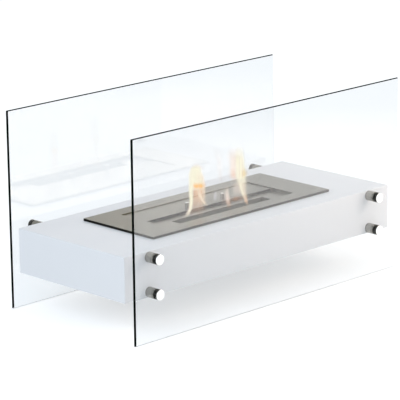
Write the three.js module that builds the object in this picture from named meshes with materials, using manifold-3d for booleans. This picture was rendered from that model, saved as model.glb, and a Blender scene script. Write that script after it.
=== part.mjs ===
// Free-standing bioethanol fireplace.
//
// A folded steel housing hangs between two glass panels that stand on the floor. Eight round
// stand-offs hold the panels to the housing. A double-walled stainless burner is let into the
// housing's top, and a damper plate slides forward in the burner's recess over the flame slot.
//
// Millimetres. X runs along the fireplace, Y to the rear, Z up. The origin is on the floor,
// under the middle of the object.

import * as THREE from "three";
import { mergeVertices } from "three/addons/utils/BufferGeometryUtils.js";
import Module from "manifold-3d";

const wasm = await Module();
wasm.setup();

// ---------------------------------------------------------------- driving dimensions

// Glass panels and housing. The housing's ends are flush with the panels' ends.
const LENGTH = 900;
const PANEL_HEIGHT = 484;
const PANEL_THICKNESS = 5;
const PANEL_ARRIS = 0.5; // flat ground on every sharp glass edge

const HOUSING_LIFT = 96; // clear height under the housing
const HOUSING_HEIGHT = 109;
const HOUSING_DEPTH = 366;
const HOUSING_SHEET = 1.5;
const HOUSING_BEND = 1.5; // outer radius of the folds round the top
const HOUSING_CORNER = 2; // outer radius of the upright corners

// Closing plate under the housing, with the tabs and screws that hold it.
const COVER_SHEET = 1.5;
const TAB_SHEET = 1.5;
const TAB_LENGTH = 30;
const TAB_REACH = 14;
const TAB_SPACING = 300;
const SCREW_DIAMETER = 4;
const SCREW_HEAD_DIAMETER = 8;
const SCREW_HEAD_HEIGHT = 2.2;
const SCREW_PAST_TAB = 2;

// Stand-offs.
const BARREL_DIAMETER = 25;
const BARREL_LENGTH = 26;
const BARREL_CHAMFER = 0.6;
const BARREL_INSET = 74; // from the panel's end to the stand-off's axis
const BARREL_MARGIN = 0.3; // housing left beside the barrel's rim
const INNER_GASKET = 2;
const OUTER_GASKET = 1;
const GASKET_INSET = 0.4; // the gaskets' rims lie inside the barrel's rim
const CAP_LENGTH = 7;
const CAP_ROUNDING = 1.2;
const PIN_CHAMFER = 0.5; // on studs, bolt heads and the cap's inner rim
const STUD_DIAMETER = 8;
const GLASS_HOLE_DIAMETER = 12;
const BOLT_REACH = 10; // bolt inside the barrel
const THREAD_SPARE = 4; // empty bore between the bolt and the cap's stud
const BOLT_HEAD_DIAMETER = 13;
const BOLT_HEAD_HEIGHT = 4.5;
const BOLT_WASHER_DIAMETER = 18;
const BOLT_WASHER = 1.5;
const BOLT_SOCKET = 5; // across the flats of the hexagon socket
const BOLT_SOCKET_DEPTH = 2.5;

// Burner.
const FLANGE_LENGTH = 602;
const FLANGE_DEPTH = 240;
const FLANGE_HEIGHT = 6; // turned-down edge, from the flange's top to the housing
const FLANGE_SHEET = 2;
const FLANGE_ROUNDING = 0.6;
const FLANGE_CORNER = 1.5; // outer radius of the flange's upright corners
const OPENING_LENGTH = 432;
const OPENING_DEPTH = 159;
const RECESS_DEPTH = 8; // from the flange's top to the recess floor
const BURNER_SHEET = 1.5;
const SLOT_LENGTH = 310;
const SLOT_WIDTH = 38;
const SLOT_FORWARD = 48; // from the burner's middle to the slot's middle
const COLLAR_DEPTH = 15; // slot collar below the recess floor
const TANK_LENGTH = 350;
const TANK_WIDTH = 60;
const TANK_DEPTH = 66;
const TRAY_LENGTH = 562;
const TRAY_WIDTH = 202;
const TRAY_GAP = 2; // between the tray and the housing's cut-out
const WOOL_DROP = 1; // from the collar's lower edge to the wool

// Damper.
const DAMPER_DEPTH = 80.5;
const DAMPER_DROP = 2.5; // from the flange's top to the damper's top
const DAMPER_SHEET = 1.5;
const PEG_DIAMETER = 10;
const PEG_HEIGHT = 18;
const PEG_CHAMFER = 0.5;
const PEG_SPACING = 120;
const PEG_OFFSET = -9; // the pair's middle, along X
const PEG_SETBACK = 6.5; // from the damper's front edge to the pegs' axes
const RIVET_DIAMETER = 5;
const RIVET_BELOW = 1.2; // rivet end below the damper plate

// Clearances.
const RUNNING_GAP = 0.3; // under the damper, and round pins in their bores
const DAMPER_SIDE_GAP = 0.5; // between the damper and the recess walls
const LOOSE_FIT = 0.3; // round a plate or block that drops into a box

// Fineness of the faceted surfaces.
const TURNED_STEPS = 24;
const SMALL_STEPS = 16;
const ROUNDING_STEPS = 2;
const CUT_PAST = 5; // how far a cutting block runs past what it cuts

// ---------------------------------------------------------------- derived places

const housingTop = HOUSING_LIFT + HOUSING_HEIGHT;
const housingFace = HOUSING_DEPTH / 2;
const barrelEnd = BARREL_LENGTH;
const glassInner = barrelEnd + INNER_GASKET; // measured outward from the housing's face
const glassOuter = glassInner + PANEL_THICKNESS;
const capSeat = glassOuter + OUTER_GASKET;

const standoffX = LENGTH / 2 - BARREL_INSET;
const standoffEdge = BARREL_DIAMETER / 2 + BARREL_MARGIN;
const standoffUpper = housingTop - standoffEdge;
const standoffLower = HOUSING_LIFT + standoffEdge;
const standoffPlaces = [
  { name: "left_upper", x: -standoffX, z: standoffUpper },
  { name: "left_lower", x: -standoffX, z: standoffLower },
  { name: "right_upper", x: standoffX, z: standoffUpper },
  { name: "right_lower", x: standoffX, z: standoffLower },
];
const boreDiameter = STUD_DIAMETER + 2 * RUNNING_GAP;

// Heights inside the burner, measured from the housing's top.
const flangeUnderside = FLANGE_HEIGHT - FLANGE_SHEET;
const recessFloor = FLANGE_HEIGHT - RECESS_DEPTH;
const recessUnderside = recessFloor - BURNER_SHEET;
const collarEnd = recessFloor - COLLAR_DEPTH - BURNER_SHEET;
const tankBottom = recessUnderside - TANK_DEPTH;
const trayBottom = tankBottom - BURNER_SHEET;
const damperTop = FLANGE_HEIGHT - DAMPER_DROP;
const damperFoot = recessFloor + RUNNING_GAP;
const damperRear = OPENING_DEPTH / 2 - DAMPER_SIDE_GAP;
const damperFront = damperRear - DAMPER_DEPTH;
const pegY = damperFront + PEG_SETBACK;
const pegPlaces = [
  { name: "left", x: PEG_OFFSET - PEG_SPACING / 2 },
  { name: "right", x: PEG_OFFSET + PEG_SPACING / 2 },
];

// The closing plate lies inside the housing's walls, under the tabs.
const coverTop = HOUSING_LIFT + COVER_SHEET;
const coverScrewPlaces = [-1, 1].flatMap((side) =>
  [-TAB_SPACING, 0, TAB_SPACING].map((x) => ({
    x,
    y: side * (housingFace - HOUSING_SHEET - TAB_REACH / 2),
    side,
  })),
);

// ---------------------------------------------------------------- finishes

const finish = (color, roughness, metalness, extra = {}) =>
  new THREE.MeshStandardMaterial({ color, roughness, metalness, ...extra });

const finishes = {
  glass: () => finish(0xe9eef0, 0.03, 0, { transparent: true, opacity: 0.25 }),
  whitePaint: () => finish(0xf1f3f6, 0.4, 0),
  brushedSteel: () => finish(0xb9b8ae, 0.35, 1),
  satinSteel: () => finish(0xa8a59c, 0.32, 1),
  polishedSteel: () => finish(0xe2e2e0, 0.05, 1),
  zincSteel: () => finish(0xa9adb0, 0.45, 1),
  blackRubber: () => finish(0x14140f, 0.7, 0),
  ceramicWool: () => finish(0xe6e2d6, 0.95, 0),
};

// ---------------------------------------------------------------- solids

// A closed geometry as a solid that can be cut and joined.
function solid(geometry) {
  const bare = geometry.index ? geometry.toNonIndexed() : geometry.clone();
  bare.deleteAttribute("normal");
  bare.deleteAttribute("uv");
  const merged = mergeVertices(bare, 1e-4);
  return new wasm.Manifold(
    new wasm.Mesh({
      numProp: 3,
      vertProperties: merged.attributes.position.array,
      triVerts: new Uint32Array(merged.index.array),
    }),
  );
}

// A solid as a geometry with flat faces, ready for a mesh.
function geometryOf(made) {
  const mesh = made.getMesh();
  const geometry = new THREE.BufferGeometry();
  geometry.setAttribute("position", new THREE.BufferAttribute(mesh.vertProperties, 3));
  geometry.setIndex(new THREE.BufferAttribute(mesh.triVerts, 1));
  const flat = geometry.toNonIndexed();
  flat.computeVertexNormals();
  return flat;
}

const cut = (from, ...tools) => tools.reduce((left, tool) => left.subtract(tool), from);
const join = (...pieces) => pieces.reduce((whole, piece) => whole.add(piece));

// A block between two corners.
function block(low, high) {
  const [x, y, z] = high.map((value, axis) => value - low[axis]);
  const geometry = new THREE.BoxGeometry(x, y, z);
  geometry.translate(low[0] + x / 2, low[1] + y / 2, low[2] + z / 2);
  return solid(geometry);
}

// A block centred on X, and on Y unless it is shifted, between two heights.
function slab(length, depth, bottom, top, y = 0) {
  return block([-length / 2, y - depth / 2, bottom], [length / 2, y + depth / 2, top]);
}

// A slab with round upright corners and a rounded edge all round its top.
function roundedSlab(length, depth, bottom, top, corner, rounding) {
  const [x, y] = [length / 2, depth / 2];
  const plan = new THREE.Shape();
  plan.moveTo(-x + corner, -y);
  plan.absarc(x - corner, -y + corner, corner, -Math.PI / 2, 0, false);
  plan.absarc(x - corner, y - corner, corner, 0, Math.PI / 2, false);
  plan.absarc(-x + corner, y - corner, corner, Math.PI / 2, Math.PI, false);
  plan.absarc(-x + corner, -y + corner, corner, Math.PI, 1.5 * Math.PI, false);
  const body = new THREE.ExtrudeGeometry(plan, {
    depth: top - bottom + CUT_PAST - 2 * rounding,
    curveSegments: ROUNDING_STEPS,
    bevelThickness: rounding,
    bevelSize: rounding,
    bevelOffset: -rounding,
    bevelSegments: ROUNDING_STEPS,
  });
  body.translate(0, 0, bottom - CUT_PAST + rounding);
  return cut(solid(body), slab(length + CUT_PAST, depth + CUT_PAST, bottom - 2 * CUT_PAST, bottom));
}

// An open-topped folded tray with walls and a floor of one sheet.
function foldedTray(length, depth, bottom, top, sheet, y = 0) {
  const inside = slab(length - 2 * sheet, depth - 2 * sheet, bottom + sheet, top + CUT_PAST, y);
  return cut(slab(length, depth, bottom, top, y), inside);
}

// A solid turned about Z from a profile of [radius, height] points, listed upward.
function turned(profile, steps = TURNED_STEPS) {
  const lathe = new THREE.LatheGeometry(
    profile.map(([radius, height]) => new THREE.Vector2(radius, height)),
    steps,
  );
  lathe.rotateX(Math.PI / 2);
  return solid(lathe);
}

// The quarter round of a turned rim, from its side to its top, as profile points.
function roundedRim(radius, top, rounding) {
  return Array.from({ length: ROUNDING_STEPS + 1 }, (_, step) => {
    const angle = (Math.PI / 2) * (step / ROUNDING_STEPS);
    return [
      radius - rounding * (1 - Math.cos(angle)),
      top - rounding * (1 - Math.sin(angle)),
    ];
  });
}

// A round rod along Z.
function rod(diameter, bottom, top, sides = TURNED_STEPS) {
  const geometry = new THREE.CylinderGeometry(diameter / 2, diameter / 2, top - bottom, sides);
  geometry.rotateX(Math.PI / 2);
  geometry.translate(0, 0, (bottom + top) / 2);
  return solid(geometry);
}

function part(name, shape, material) {
  const mesh = new THREE.Mesh(shape.isBufferGeometry ? shape : geometryOf(shape), material);
  mesh.name = name;
  return mesh;
}

function place(object, x, y, z) {
  object.position.set(x, y, z);
  return object;
}

// ---------------------------------------------------------------- glass panels

// One panel, drawn in its own plane and extruded through its thickness, with every edge and
// every hole arrised. Its inner or rear face lies at Y = 0 and its other face at the thickness.
function panel() {
  const outline = new THREE.Shape();
  outline.moveTo(-LENGTH / 2, 0);
  outline.lineTo(LENGTH / 2, 0);
  outline.lineTo(LENGTH / 2, PANEL_HEIGHT);
  outline.lineTo(-LENGTH / 2, PANEL_HEIGHT);
  outline.closePath();
  for (const { x, z } of standoffPlaces) {
    const hole = new THREE.Path();
    hole.absarc(x, z, GLASS_HOLE_DIAMETER / 2, 0, 2 * Math.PI, true);
    outline.holes.push(hole);
  }
  const glass = new THREE.ExtrudeGeometry(outline, {
    depth: PANEL_THICKNESS - 2 * PANEL_ARRIS,
    curveSegments: TURNED_STEPS / 2,
    bevelThickness: PANEL_ARRIS,
    bevelSize: PANEL_ARRIS,
    bevelOffset: -PANEL_ARRIS,
    bevelSegments: 1,
  });
  glass.rotateX(Math.PI / 2);
  glass.translate(0, PANEL_THICKNESS - PANEL_ARRIS, 0);
  return solid(glass);
}

function glassPanels() {
  const group = new THREE.Group();
  const front = part("front_glass", panel(), finishes.glass());
  group.add(place(front, 0, -(housingFace + glassOuter), 0));
  const rear = part("rear_glass", panel(), finishes.glass());
  group.add(place(rear, 0, housingFace + glassInner, 0));
  return group;
}

// ---------------------------------------------------------------- housing

const screwHole = rod(
  SCREW_DIAMETER + 2 * RUNNING_GAP,
  HOUSING_LIFT - CUT_PAST,
  coverTop + CUT_PAST,
  SMALL_STEPS,
);

// A tab that stands in from the long wall, over the closing plate, with its screw hole.
function coverTab({ x, y, side }) {
  const wall = side * (housingFace - HOUSING_SHEET / 2);
  const tip = side * (housingFace - HOUSING_SHEET - TAB_REACH);
  const tab = block(
    [x - TAB_LENGTH / 2, Math.min(wall, tip), coverTop],
    [x + TAB_LENGTH / 2, Math.max(wall, tip), coverTop + TAB_SHEET],
  );
  return cut(tab, screwHole.translate(x, y, 0));
}

function housingShell() {
  const body = roundedSlab(
    LENGTH,
    HOUSING_DEPTH,
    HOUSING_LIFT,
    housingTop,
    HOUSING_CORNER,
    HOUSING_BEND,
  );
  const inside = slab(
    LENGTH - 2 * HOUSING_SHEET,
    HOUSING_DEPTH - 2 * HOUSING_SHEET,
    HOUSING_LIFT - CUT_PAST,
    housingTop - HOUSING_SHEET,
  );
  const burnerCutOut = slab(
    TRAY_LENGTH + 2 * TRAY_GAP,
    TRAY_WIDTH + 2 * TRAY_GAP,
    housingTop - CUT_PAST,
    housingTop + CUT_PAST,
  );
  const boltHoles = standoffPlaces.map(({ x, z }) =>
    rod(boreDiameter, -HOUSING_DEPTH, HOUSING_DEPTH).rotate([90, 0, 0]).translate(x, 0, z),
  );
  const shell = cut(body, inside, burnerCutOut, ...boltHoles);
  return join(shell, ...coverScrewPlaces.map(coverTab));
}

function baseCover() {
  const plate = slab(
    LENGTH - 2 * HOUSING_SHEET - 2 * LOOSE_FIT,
    HOUSING_DEPTH - 2 * HOUSING_SHEET - 2 * LOOSE_FIT,
    HOUSING_LIFT,
    coverTop,
  );
  return cut(plate, ...coverScrewPlaces.map(({ x, y }) => screwHole.translate(x, y, 0)));
}

// A pan-head screw, head down, that holds the closing plate to a tab.
function coverScrew() {
  const head = SCREW_HEAD_DIAMETER / 2;
  const shank = SCREW_DIAMETER / 2;
  const tip = COVER_SHEET + TAB_SHEET + SCREW_PAST_TAB;
  return turned(
    [
      [0, -SCREW_HEAD_HEIGHT],
      [head / 2, -SCREW_HEAD_HEIGHT],
      [head, -SCREW_HEAD_HEIGHT / 2],
      [head, 0],
      [shank, 0],
      [shank, tip],
      [0, tip],
    ],
    SMALL_STEPS,
  );
}

function housing() {
  const group = new THREE.Group();
  group.add(part("housing_shell", housingShell(), finishes.whitePaint()));
  group.add(part("base_cover", baseCover(), finishes.whitePaint()));
  coverScrewPlaces.forEach(({ x, y }, index) => {
    const screw = part(`base_screw_${index + 1}`, coverScrew(), finishes.zincSteel());
    group.add(place(screw, x, y, HOUSING_LIFT));
  });
  return group;
}

// ---------------------------------------------------------------- stand-offs

// Each piece is turned about Z, its seat on the housing at zero, and then laid along Y.

// The spacer between the housing and the glass, bored through for the bolt and the stud.
function barrel() {
  const outer = BARREL_DIAMETER / 2;
  const bore = boreDiameter / 2;
  return turned([
    [bore, 0],
    [outer - BARREL_CHAMFER, 0],
    [outer, BARREL_CHAMFER],
    [outer, BARREL_LENGTH - BARREL_CHAMFER],
    [outer - BARREL_CHAMFER, BARREL_LENGTH],
    [bore, BARREL_LENGTH],
    [bore, 0],
  ]);
}

function gasket(from, to) {
  const outer = BARREL_DIAMETER / 2 - GASKET_INSET;
  const bore = boreDiameter / 2;
  const section = [
    [bore, from],
    [outer, from],
    [outer, to],
    [bore, to],
    [bore, from],
  ];
  return turned(section, SMALL_STEPS);
}

// The polished cap with the stud that passes through the glass into the barrel.
function cap() {
  const outer = BARREL_DIAMETER / 2;
  const stud = STUD_DIAMETER / 2;
  const studEnd = BOLT_REACH + THREAD_SPARE;
  const face = capSeat + CAP_LENGTH;
  return turned([
    [0, studEnd],
    [stud - PIN_CHAMFER, studEnd],
    [stud, studEnd + PIN_CHAMFER],
    [stud, capSeat],
    [outer - PIN_CHAMFER, capSeat],
    [outer, capSeat + PIN_CHAMFER],
    ...roundedRim(outer, face, CAP_ROUNDING),
    [0, face],
  ]);
}

// The bolt inside the housing, with a wide washer face and a hexagon socket.
function bolt() {
  const head = BOLT_HEAD_DIAMETER / 2;
  const shank = STUD_DIAMETER / 2;
  const washerBack = -HOUSING_SHEET - BOLT_WASHER;
  const headBack = washerBack - BOLT_HEAD_HEIGHT;
  const body = turned(
    [
      [0, headBack],
      [head - PIN_CHAMFER, headBack],
      [head, headBack + PIN_CHAMFER],
      [head, washerBack],
      [BOLT_WASHER_DIAMETER / 2, washerBack],
      [BOLT_WASHER_DIAMETER / 2, -HOUSING_SHEET],
      [shank, -HOUSING_SHEET],
      [shank, BOLT_REACH],
      [0, BOLT_REACH],
    ],
    SMALL_STEPS,
  );
  const acrossCorners = BOLT_SOCKET / Math.cos(Math.PI / 6);
  return cut(body, rod(acrossCorners, headBack - CUT_PAST, headBack + BOLT_SOCKET_DEPTH, 6));
}

// One stand-off. It points to the rear, or to the front where side is -1.
function standoff(prefix, side) {
  const group = new THREE.Group();
  const lay = (shape) => shape.rotate([-90 * side, 0, 0]);
  const pieces = [
    ["barrel", barrel(), finishes.brushedSteel()],
    ["inner_gasket", gasket(barrelEnd, glassInner), finishes.blackRubber()],
    ["outer_gasket", gasket(glassOuter, capSeat), finishes.blackRubber()],
    ["cap", cap(), finishes.polishedSteel()],
    ["bolt", bolt(), finishes.zincSteel()],
  ];
  for (const [name, shape, material] of pieces) {
    group.add(part(`${prefix}_${name}`, lay(shape), material));
  }
  return group;
}

function standoffs() {
  const group = new THREE.Group();
  for (const [row, side] of [["front", -1], ["rear", 1]]) {
    for (const { name, x, z } of standoffPlaces) {
      group.add(place(standoff(`${row}_${name}`, side), x, side * housingFace, z));
    }
  }
  return group;
}

// ---------------------------------------------------------------- burner

// Heights are measured from the housing's top, on which the flange's edge rests.

function burnerFlange() {
  const plate = roundedSlab(
    FLANGE_LENGTH,
    FLANGE_DEPTH,
    0,
    FLANGE_HEIGHT,
    FLANGE_CORNER,
    FLANGE_ROUNDING,
  );
  const underside = slab(
    FLANGE_LENGTH - 2 * FLANGE_SHEET,
    FLANGE_DEPTH - 2 * FLANGE_SHEET,
    -CUT_PAST,
    flangeUnderside,
  );
  const opening = slab(OPENING_LENGTH, OPENING_DEPTH, -CUT_PAST, FLANGE_HEIGHT + CUT_PAST);
  return cut(plate, underside, opening);
}

// The recess: walls down from the opening, a floor, and the slot with its collar.
function burnerPan() {
  const walls = slab(
    OPENING_LENGTH + 2 * BURNER_SHEET,
    OPENING_DEPTH + 2 * BURNER_SHEET,
    recessUnderside,
    flangeUnderside,
  );
  const recess = slab(OPENING_LENGTH, OPENING_DEPTH, recessFloor, flangeUnderside + CUT_PAST);
  const collar = slab(
    SLOT_LENGTH + 2 * BURNER_SHEET,
    SLOT_WIDTH + 2 * BURNER_SHEET,
    collarEnd,
    recessFloor - BURNER_SHEET / 2,
    -SLOT_FORWARD,
  );
  const slot = slab(SLOT_LENGTH, SLOT_WIDTH, collarEnd - CUT_PAST, CUT_PAST, -SLOT_FORWARD);
  return cut(join(cut(walls, recess), collar), slot);
}

function fuelTank() {
  return foldedTray(
    TANK_LENGTH,
    TANK_WIDTH,
    tankBottom,
    recessUnderside,
    BURNER_SHEET,
    -SLOT_FORWARD,
  );
}

function ceramicWool() {
  const around = 2 * (BURNER_SHEET + LOOSE_FIT);
  return slab(
    TANK_LENGTH - around,
    TANK_WIDTH - around,
    tankBottom + BURNER_SHEET,
    collarEnd - WOOL_DROP,
    -SLOT_FORWARD,
  );
}

function burner() {
  const group = new THREE.Group();
  const tray = foldedTray(TRAY_LENGTH, TRAY_WIDTH, trayBottom, flangeUnderside, BURNER_SHEET);
  group.add(part("burner_flange", burnerFlange(), finishes.satinSteel()));
  group.add(part("burner_pan", burnerPan(), finishes.satinSteel()));
  group.add(part("fuel_tank", fuelTank(), finishes.satinSteel()));
  group.add(part("ceramic_wool", ceramicWool(), finishes.ceramicWool()));
  group.add(part("safety_tray", tray, finishes.satinSteel()));
  return place(group, 0, 0, housingTop);
}

// ---------------------------------------------------------------- damper

// A folded plate that lies in the recess on its front and rear edges, which are turned down.
function damperPlate() {
  const middle = (damperFront + damperRear) / 2;
  const length = OPENING_LENGTH - 2 * DAMPER_SIDE_GAP;
  const plate = slab(length, DAMPER_DEPTH, damperFoot, damperTop, middle);
  const underside = slab(
    length + CUT_PAST,
    DAMPER_DEPTH - 2 * DAMPER_SHEET,
    damperFoot - CUT_PAST,
    damperTop - DAMPER_SHEET,
    middle,
  );
  const rivetHoles = pegPlaces.map(({ x }) =>
    rod(RIVET_DIAMETER + 2 * RUNNING_GAP, damperFoot, damperTop + CUT_PAST, SMALL_STEPS).translate(
      x,
      pegY,
      0,
    ),
  );
  return cut(plate, underside, ...rivetHoles);
}

// An upright peg, riveted through the plate, by which the hot damper is pushed with a tool.
function damperPeg() {
  const rivet = RIVET_DIAMETER / 2;
  const foot = -DAMPER_SHEET - RIVET_BELOW;
  return turned([
    [0, foot],
    [rivet, foot],
    [rivet, 0],
    [PEG_DIAMETER / 2, 0],
    [PEG_DIAMETER / 2, PEG_HEIGHT - PEG_CHAMFER],
    [PEG_DIAMETER / 2 - PEG_CHAMFER, PEG_HEIGHT],
    [0, PEG_HEIGHT],
  ]);
}

function damper() {
  const group = new THREE.Group();
  group.add(part("damper_plate", damperPlate(), finishes.satinSteel()));
  for (const { name, x } of pegPlaces) {
    const peg = part(`damper_peg_${name}`, damperPeg(), finishes.polishedSteel());
    group.add(place(peg, x, pegY, damperTop));
  }
  return place(group, 0, 0, housingTop);
}

// ---------------------------------------------------------------- assembly

const fireplace = new THREE.Group();
fireplace.add(glassPanels(), housing(), standoffs(), burner(), damper());

export default fireplace;
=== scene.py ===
"""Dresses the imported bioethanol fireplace: meshes, finishes, flames, a plain studio and the camera."""

import logging
import math
from dataclasses import dataclass
from enum import Enum
from typing import Callable, Iterable, Sequence

import bmesh
import bpy
from mathutils import Matrix, Vector


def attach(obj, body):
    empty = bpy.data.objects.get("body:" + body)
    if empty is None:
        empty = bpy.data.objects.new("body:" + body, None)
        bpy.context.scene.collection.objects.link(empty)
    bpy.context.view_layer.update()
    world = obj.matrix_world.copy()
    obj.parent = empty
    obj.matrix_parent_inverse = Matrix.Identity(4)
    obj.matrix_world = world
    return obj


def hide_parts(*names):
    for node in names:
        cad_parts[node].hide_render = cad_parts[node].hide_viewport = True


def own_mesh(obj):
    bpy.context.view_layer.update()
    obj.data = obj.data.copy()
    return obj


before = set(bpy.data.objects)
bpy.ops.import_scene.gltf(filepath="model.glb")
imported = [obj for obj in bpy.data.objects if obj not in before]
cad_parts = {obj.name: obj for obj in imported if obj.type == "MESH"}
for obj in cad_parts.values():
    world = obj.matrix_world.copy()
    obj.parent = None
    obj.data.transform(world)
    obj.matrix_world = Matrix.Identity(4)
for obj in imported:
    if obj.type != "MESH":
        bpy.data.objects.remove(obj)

LOG = logging.getLogger("fireplace")
MM = 0.001
PICTURE = 400
GLOW = "glow"
Colour = tuple[float, float, float]
Point = tuple[float, ...]


# ---------------------------------------------------------------- shapes


def arc(centre: Point, radius: float, start: float, end: float, steps: int = 4) -> list[Point]:
    """Points along an arc in a section.

    Args:
        centre: The arc's centre, in millimetres.
        radius: Its radius, in millimetres.
        start: The first angle, in degrees from the section's first axis.
        end: The last angle, in degrees.
        steps: The number of straight steps.

    Returns:
        The points, both ends among them.
    """
    angles = [math.radians(start + (end - start) * step / steps) for step in range(steps + 1)]
    return [(centre[0] + radius * math.cos(a), centre[1] + radius * math.sin(a)) for a in angles]


def supported(path: Sequence[Point], reach: float = 0.3, least: float = 2.0) -> list[Point]:
    """Adds a point just inside both ends of each long step, so that flat bands stay flat in smooth shading.

    Args:
        path: The points of a section or of a stack of outlines.
        reach: How far from each end the new points lie, in millimetres.
        least: The shortest step that gets them, in millimetres.

    Returns:
        The longer path.
    """
    made = [tuple(path[0])]
    for before, after in zip(path, path[1:]):
        length = math.dist(before, after)
        if length > least:
            for share in (reach / length, 1 - reach / length):
                made.append(tuple(a + (b - a) * share for a, b in zip(before, after)))
        made.append(tuple(after))
    return made


def outline(half_x: float, half_y: float, corner: float, steps: int = 5, reach: float = 0.3) -> list[Point]:
    """A rectangle with rounded corners, with a point on each side just past a corner to keep the sides flat.

    Args:
        half_x: Half its length, in millimetres.
        half_y: Half its depth, in millimetres.
        corner: The corners' radius, in millimetres.
        steps: The straight steps in each corner.
        reach: How far past a corner the sides' points lie, in millimetres.

    Returns:
        Its points, counterclockwise.
    """
    made: list[Point] = []
    for quarter, (x, y) in enumerate(((1, 1), (-1, 1), (-1, -1), (1, -1))):
        centre = (x * (half_x - corner), y * (half_y - corner))
        bend = arc(centre, corner, 90 * quarter, 90 * quarter + 90, steps)
        level = abs(bend[0][0]) > abs(centre[0]) + corner * 0.99
        before = (bend[0][0], bend[0][1] - y * reach) if level else (bend[0][0] - x * reach, bend[0][1])
        after = (bend[-1][0] - x * reach, bend[-1][1]) if level else (bend[-1][0], bend[-1][1] - y * reach)
        made += [before, *bend, after]
    return made


def circle(radius: float, steps: int) -> list[Point]:
    """A circle's points, the last one apart from the first."""
    return arc((0, 0), radius, 0, 360, steps)[:-1]


def hexagon(across: float, steps: int) -> list[Point]:
    """A hexagon's points, as many as steps.

    Args:
        across: The width between two flats, in millimetres.
        steps: The number of points, a multiple of six.

    Returns:
        The points, counterclockwise.
    """
    made = []
    for step in range(steps):
        angle = 2 * math.pi * step / steps
        off_flat = (angle + math.pi / 6) % (math.pi / 3) - math.pi / 6
        radius = across / 2 / math.cos(off_flat)
        made.append((radius * math.cos(angle), radius * math.sin(angle)))
    return made


@dataclass(frozen=True)
class Level:
    """One outline in a stack of outlines, in millimetres."""

    half_x: float
    half_y: float
    corner: float
    z: float
    y: float = 0.0

    def values(self) -> Point:
        """The level's numbers in order, for steps between two levels."""
        return (self.half_x, self.half_y, self.corner, self.z, self.y)

    def loop(self) -> list[Vector]:
        """The level's points in space."""
        flat = outline(self.half_x, self.half_y, max(self.corner, 0.05))
        return [Vector((x, y + self.y, self.z)) for x, y in flat]


def levels(path: Iterable[Level]) -> list[list[Vector]]:
    """Loops for a stack of levels, with support loops beside each bend."""
    return [Level(*numbers).loop() for numbers in supported([level.values() for level in path])]


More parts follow.
